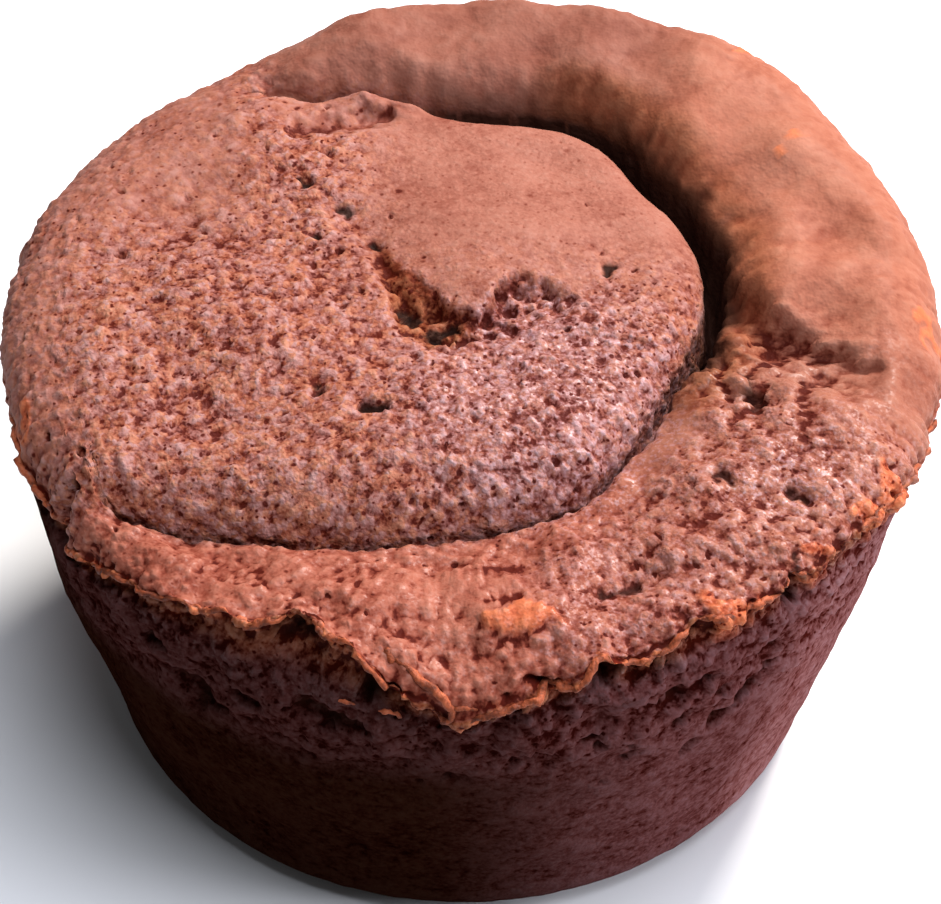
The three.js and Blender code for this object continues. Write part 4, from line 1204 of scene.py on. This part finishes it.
# %% The two chocolate materials
def chocolate(name, specular):
    material, tree, place = new_material(name)
    sockets = {}

    def painted(attribute):
        if attribute not in sockets:
            sockets[attribute] = tree.add("ShaderNodeAttribute", {"attribute_name": attribute}).other("Fac")
        return sockets[attribute]

    pattern = crumb_patterns(tree, place)
    even = (painted("fine") * EVEN["fine"]).at_least(painted("even_crust") * EVEN["even_crust"])
    even = even.at_least(painted("ledge") * EVEN["ledge"])
    tone = crumb_tone(painted, pattern, even)
    shades = tree.add("ShaderNodeValToRGB", {"stops": TONE_STOPS}, {0: tone})
    lit_colour = tree.times(place_colour(tree, painted, pattern), shades)
    # painted shade: the colour goes near-black where gap is high
    skin_colour = tree.blend(painted("gap") * 0.95, lit_colour, PAINTED_SHADE_DARK)

    wall = painted("wall")
    wet = painted("moist") * COAT["moist"] + painted("ledge") * COAT["ledge"]
    wet = pattern["specks"].between(0.46, 0.62) * wet + COAT["all"]
    coat = wet * tone.between(0.15, 0.5) * (1 - wall.at_least(painted("gap")) * 0.95)
    height = pattern["crumbs"] * HEIGHTS["crumbs"] * (1 - even * 0.55)
    height = height + pattern["specks"] * HEIGHTS["specks"] * painted("grainy")
    height = height + pattern["granules"] * HEIGHTS["granules"] * painted("grainy")
    height = height * (1 - wall * 0.3)
    bump = tree.add("ShaderNodeBump", None, {
        "Height": height, "Strength": BUMP_STRENGTH, "Distance": BUMP_DISTANCE * MM})
    shader = tree.add("ShaderNodeBsdfPrincipled", None, {
        "Base Color": skin_colour, "Roughness": MATT + (pattern["specks"] - 0.5) * 0.3, "Normal": bump,
        "IOR": CHOCOLATE_IOR, "Specular IOR Level": specular, "Coat Weight": coat,
        "Coat Roughness": COAT_ROUGHNESS})
    tree.add("ShaderNodeOutputMaterial", None, {"Surface": shader})
    return material


CRUMB_SPECULAR = 0.05
WALL_SPECULAR = 0.0
crumb_material = chocolate("baked chocolate crumb", CRUMB_SPECULAR)
wall_material = chocolate("dark wall crust", WALL_SPECULAR)
print("materials:", crumb_material.name, "and", wall_material.name, "with",
      len(crumb_material.node_tree.nodes), "nodes each")

# %% [markdown]
# ## Run the tree and thin the mesh
# The tree runs once, and its result becomes a plain mesh. Decimate then takes triangles away
# where the skin is smooth, such as low on the wall, and leaves them where it is rough.

# %% Make the cake's skin
TRIANGLE_BUDGET = 190000


def set_inputs(modifier, group, values):
    """Sets a modifier's inputs by the identifiers of their sockets."""
    for item in group.interface.items_tree:
        if item.item_type == "SOCKET" and item.in_out == "INPUT" and item.name in values:
            modifier[item.identifier] = values[item.name]


def finished_piece(source, name):
    """A plain mesh object made from an object and its modifiers, which is then removed."""
    evaluated = source.evaluated_get(bpy.context.evaluated_depsgraph_get())
    mesh = bpy.data.meshes.new_from_object(evaluated)
    mesh.name = name
    bpy.data.objects.remove(source)
    return new_object(name, mesh)


crumb = crumb_tree()
skin_modifier = rings_object.modifiers.new("crumb and pores", "NODES")
skin_modifier.node_group = crumb
set_inputs(skin_modifier, crumb, {
    **CRUMB_INPUTS, "crumb material": crumb_material, "wall material": wall_material})
thin = rings_object.modifiers.new("thin", "DECIMATE")
thin.ratio = min(1.0, TRIANGLE_BUDGET / len(skin_triangles))
cake_skin = finished_piece(rings_object, "cake_skin")
print("cake skin:", len(cake_skin.data.polygons), "triangles")

# %% [markdown]
# ## The torn edge of crust
# Where the crust hung over the tin it has torn, dried and curled. It shows as a bright orange
# edge that comes and goes under the ledge. Paint on the skin could show its colour, but a
# curled edge has a thickness and casts a shadow. So strands are laid along the lip, and
# Geometry Nodes set them on the finished skin and sweep a round profile along them.

# %% Where the strands run
LIP_STRANDS = [                # start and end azimuth, thickest radius in millimetres
    (191, 196, 0.26), (198, 207, 0.3), (212, 217, 0.26), (218.5, 225, 0.28), (226, 232, 0.22),
    (234, 239.5, 0.26), (240.5, 246.5, 0.34), (250, 256, 0.3), (257, 261, 0.24), (270.5, 277, 0.3),
    (276, 283.5, 0.36), (283, 287.3, 0.34), (289, 293.5, 0.26), (293, 298, 0.3), (299.5, 303.5, 0.34),
    (305, 310, 0.26), (311.5, 314, 0.22), (324, 329, 0.34), (331, 334, 0.3), (336, 339, 0.26),
    (344, 347.5, 0.24), (354, 358.5, 0.3)]
CURLS = [                      # points in millimetres, and the thickest radius
    ([(-5.4, -30.4, 34.2), (-4.9, -31.2, 34.2), (-4.1, -32.0, 34.0), (-3.4, -32.9, 33.6), (-2.4, -33.4, 33.2),
      (-1.5, -33.8, 32.6), (-0.9, -34.3, 31.8), (-1.0, -34.5, 31.0), (-1.8, -34.4, 30.4)], 0.36),
    ([(-5.6, -30.8, 34.1), (-5.1, -31.2, 34.2), (-4.8, -31.7, 34.0)], 0.5),
    ([(-0.9, -34.3, 31.9), (0.2, -34.2, 31.9), (1.2, -33.9, 31.5)], 0.26),
    ([(7.2, -32.9, 32.4), (8.0, -32.4, 33.3), (8.8, -31.9, 34.1), (9.5, -31.4, 34.6)], 0.34),
    ([(-9.4, -31.9, 30.2), (-8.4, -32.3, 30.5), (-7.6, -32.4, 30.2)], 0.2),
    ([(-6.0, -32.8, 30.0), (-5.0, -33.1, 30.3), (-4.4, -33.2, 29.9)], 0.2)]
THINNER = 0.85                 # all strands, against the thickness in the lists
STRAND_STEP = 0.22             # millimetres between the points of a strand
CURL_FREEDOM = 0.55            # how far a curl keeps its own way instead of lying on the skin
LIP_FREEDOM = 0.12             # the same for a strand on the lip
LIP_SHARE = 0.3                # where the strands lie on the frill part of a slice
END_THICKNESS = 0.2            # at a strand's ends, against its middle


def strand_thickness(count, thickest):
    """The radius at each of count points, thickest in the middle and thin at both ends."""
    share = np.linspace(0, 1, count)
    return THINNER * thickest * (END_THICKNESS + (1 - END_THICKNESS) * np.sin(math.pi * share) ** 0.5)


strands = []                   # each has points, thickness and freedom
for start_azimuth, end_azimuth, thickest in LIP_STRANDS:
    count = round(math.radians(end_azimuth - start_azimuth) * WALL_ARC_RADIUS / STRAND_STEP)
    azimuths = np.linspace(start_azimuth, end_azimuth, count)
    path = slice_points(azimuths, "frill", LIP_SHARE)
    strands.append((path, strand_thickness(count, thickest), LIP_FREEDOM))
for points, thickest in CURLS:
    along = np.arange(len(points), dtype=float)
    count = round(len(points) / STRAND_STEP)
    at = np.linspace(0, len(points) - 1, count)
    path = np.stack([np.interp(at, along, [p[axis] for p in points]) for axis in range(3)], axis=1)
    strands.append((path, strand_thickness(count, thickest), CURL_FREEDOM))
print("strands:", len(strands), "with", sum(len(path) for path, _, _ in strands), "points")


# %% The tree of the torn edge
FRILL_INPUTS = {"stray": 0.30 * MM, "stray size": 1.8 * MM, "roughness": 0.24 * MM, "rough size": 0.60 * MM}
FRILL_SIDES = 10


def frill_tree():
    """The tree that lays strands on the skin, lets them stray and sweeps a profile along them."""
    group = new_group("torn edge", "Strands", FRILL_INPUTS, {
        "skin": "NodeSocketObject", "crust material": "NodeSocketMaterial"})
    tree = Tree(group)
    given = tree.add("NodeGroupInput")
    position = tree.add("GeometryNodeInputPosition")
    skin = tree.add("GeometryNodeObjectInfo", None, {"Object": given.other("skin")}, "Geometry")
    on_skin = tree.add("GeometryNodeProximity", {"target_element": "FACES"}, {
        "Geometry": skin, "Sample Position": position}, "Position")
    away = tree.vector("SUBTRACT", position, on_skin)
    kept = tree.vector("SCALE", away, scale=tree.named("freedom"))
    stray = tree.sized_noise(position, given.other("stray size"), output=1)
    stray = tree.vector("SUBTRACT", stray, (0.5, 0.5, 0.5))
    stray = tree.vector("SCALE", stray, scale=given.other("stray") * 2)
    place = tree.vector("ADD", tree.vector("ADD", on_skin, kept), stray)
    laid = tree.add("GeometryNodeSetPosition", None, {
        "Geometry": given.other("Strands"), "Position": place})
    curves = tree.add("GeometryNodeMeshToCurve", None, {"Mesh": laid})
    profile = tree.add("GeometryNodeCurvePrimitiveCircle", None, {
        "Resolution": FRILL_SIDES, "Radius": 1.0})
    swept = tree.add("GeometryNodeCurveToMesh", None, {
        "Curve": curves, "Profile Curve": profile, "Scale": tree.named("thick"), "Fill Caps": True})
    rough = tree.sized_noise(position, given.other("rough size"), detail=2.0)
    normal = tree.add("GeometryNodeInputNormal")
    offset = tree.vector("SCALE", normal, scale=(rough - 0.5) * 2 * given.other("roughness"))
    swept = tree.move(swept, offset)
    swept = tree.add("GeometryNodeSetShadeSmooth", None, {"Geometry": swept, "Shade Smooth": True})
    swept = tree.add("GeometryNodeRealizeInstances", None, {"Geometry": swept})
    swept = tree.add("GeometryNodeSetMaterial", None, {
        "Geometry": swept, "Material": given.other("crust material")})
    tree.add("NodeGroupOutput", None, {"Strands": swept})
    return group


# %% The thin crust's material
# from the dark red of thick patches of dry crust to the orange of thin ones
CRUST_STOPS = [(0.34, (0.060, 0.013, 0.006, 1)), (0.46, (0.17, 0.036, 0.013, 1)),
               (0.55, (0.31, 0.068, 0.024, 1)), (0.70, (0.42, 0.115, 0.050, 1))]
CRUST_PATCH = 1.6              # millimetres
CRUST_FLECK = 0.35             # millimetres
PATCH_SHARE = 0.65             # how much of the colour follows the patches
FLECK_SHARE = 0.35             # and how much the flecks
CRUST_BUMP = 0.7
CRUST_BUMP_DISTANCE = 0.2      # millimetres
CRUST_SPECULAR = 0.2


def thin_crust(name):
    """The orange and dark red of a thin, dry, torn edge."""
    material, tree, place = new_material(name)
    patches = tree.noise(place, CRUST_PATCH, roughness=0.6)
    flecks = tree.noise(place, CRUST_FLECK, roughness=0.6)
    mixed = patches * PATCH_SHARE + flecks * FLECK_SHARE
    colour = tree.add("ShaderNodeValToRGB", {"stops": CRUST_STOPS}, {0: mixed})
    bump = tree.add("ShaderNodeBump", None, {
        "Height": flecks, "Strength": CRUST_BUMP, "Distance": CRUST_BUMP_DISTANCE * MM})
    shader = tree.add("ShaderNodeBsdfPrincipled", None, {
        "Base Color": colour, "Roughness": 0.45 + flecks * 0.25, "Normal": bump,
        "Specular IOR Level": CRUST_SPECULAR})
    tree.add("ShaderNodeOutputMaterial", None, {"Surface": shader})
    return material


crust_material = thin_crust("thin torn crust")
print("material:", crust_material.name, "with", len(crust_material.node_tree.nodes), "nodes")

# %% Lay the strands' points and edges
strand_counts = [len(path) for path, _, _ in strands]
strand_mesh = bpy.data.meshes.new("crust_strands")
strand_mesh.vertices.add(sum(strand_counts))
strand_places = np.concatenate([path for path, _, _ in strands])
strand_mesh.vertices.foreach_set("co", strand_places.ravel() * MM)
firsts = np.concatenate([[0], np.cumsum(strand_counts)[:-1]])
pairs = np.concatenate([first + np.arange(count - 1) for first, count in zip(firsts, strand_counts)])
strand_mesh.edges.add(len(pairs))
strand_edges = np.stack([pairs, pairs + 1], axis=1).astype(np.int32)
strand_mesh.edges.foreach_set("vertices", strand_edges.ravel())
paint_on(strand_mesh, {
    "thick": np.concatenate([thick for _, thick, _ in strands]) * MM,
    "freedom": np.concatenate([np.full(len(path), freedom) for path, _, freedom in strands])})
print("strand points:", len(strand_mesh.vertices), "edges:", len(strand_mesh.edges))

# %% Make the torn edge
strand_object = new_object("crust_strands", strand_mesh)
frill_group = frill_tree()
frill_modifier = strand_object.modifiers.new("torn edge", "NODES")
frill_modifier.node_group = frill_group
set_inputs(frill_modifier, frill_group, {
    **FRILL_INPUTS, "skin": cake_skin, "crust material": crust_material})
crust_frill = finished_piece(strand_object, "crust_frill")
frill_points = np.array([vertex.co for vertex in crust_frill.data.vertices]) / MM
print("torn edge:", len(crust_frill.data.polygons), "faces, box in mm",
      frill_points.min(axis=0).round(1).tolist(), frill_points.max(axis=0).round(1).tolist())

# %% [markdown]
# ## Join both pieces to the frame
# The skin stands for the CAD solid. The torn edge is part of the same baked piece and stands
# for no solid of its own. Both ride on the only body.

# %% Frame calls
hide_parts("cake")
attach(cake_skin, "root")
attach(crust_frill, "root")
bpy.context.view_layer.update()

# %% [markdown]
# ## Floor and light
# The floor is plain and pale. A warm soft lamp stands behind and to the right, so the collar
# shades the crack and the dome's far side is the brightest; the crack has painted shade as well.
# A wide, cool, weaker one in front on the right gives the bluish shine on the moist crumb, with a
# painted cool sheen added, and the left of the wall stays dark, with painted shade there too.

# %% Floor
FLOOR_HALF = 1.2               # metres
FLOOR_COLOUR = (0.72, 0.72, 0.72, 1)
FLOOR_ROUGHNESS = 0.8
FLOOR_CORNERS = [(-1, -1, 0), (1, -1, 0), (1, 1, 0), (-1, 1, 0)]
floor_mesh = bpy.data.meshes.new("floor")
floor_mesh.from_pydata([Vector(corner) * FLOOR_HALF for corner in FLOOR_CORNERS], [], [(0, 1, 2, 3)])
floor = new_object("floor", floor_mesh)
floor_material = bpy.data.materials.new("pale floor")
floor_material.use_nodes = True
floor_shader = floor_material.node_tree.nodes["Principled BSDF"]
floor_shader.inputs["Base Color"].default_value = FLOOR_COLOUR
floor_shader.inputs["Roughness"].default_value = FLOOR_ROUGHNESS
floor_mesh.materials.append(floor_material)
print("floor:", FLOOR_HALF * 2, "m wide")


# %% Lights
LAMPS = {                      # place and size in metres, watts, colour
    "key": ((0.18, 0.25, 0.32), 0.12, 3.4, (1.0, 0.95, 0.90)),
    "sky": ((0.08, -0.08, 0.50), 0.35, 2.9, (0.86, 0.90, 1.0)),
    "window": ((0.47, -0.10, 0.20), 0.25, 2.2, (0.88, 0.90, 1.0))}
WORLD_COLOUR = (0.85, 0.85, 0.88, 1)
WORLD_STRENGTH = 0.12


def soft_lamp(name, place, size, watts, colour):
    """A round lamp that faces the cake."""
    data = bpy.data.lights.new(name, "AREA")
    data.shape = "DISK"
    data.size = size
    data.energy = watts
    data.color = colour
    lamp = new_object(name, data)
    lamp.location = place
    lamp.rotation_euler = (Vector(place) - CAMERA_TARGET).to_track_quat("Z", "Y").to_euler()


for lamp_name, lamp_settings in LAMPS.items():
    soft_lamp(lamp_name, *lamp_settings)
world = bpy.data.worlds.new("studio")
world.use_nodes = True
background = world.node_tree.nodes["Background"]
background.inputs["Color"].default_value = WORLD_COLOUR
background.inputs["Strength"].default_value = WORLD_STRENGTH
bpy.context.scene.world = world
bpy.context.scene.view_settings.view_transform = "Standard"
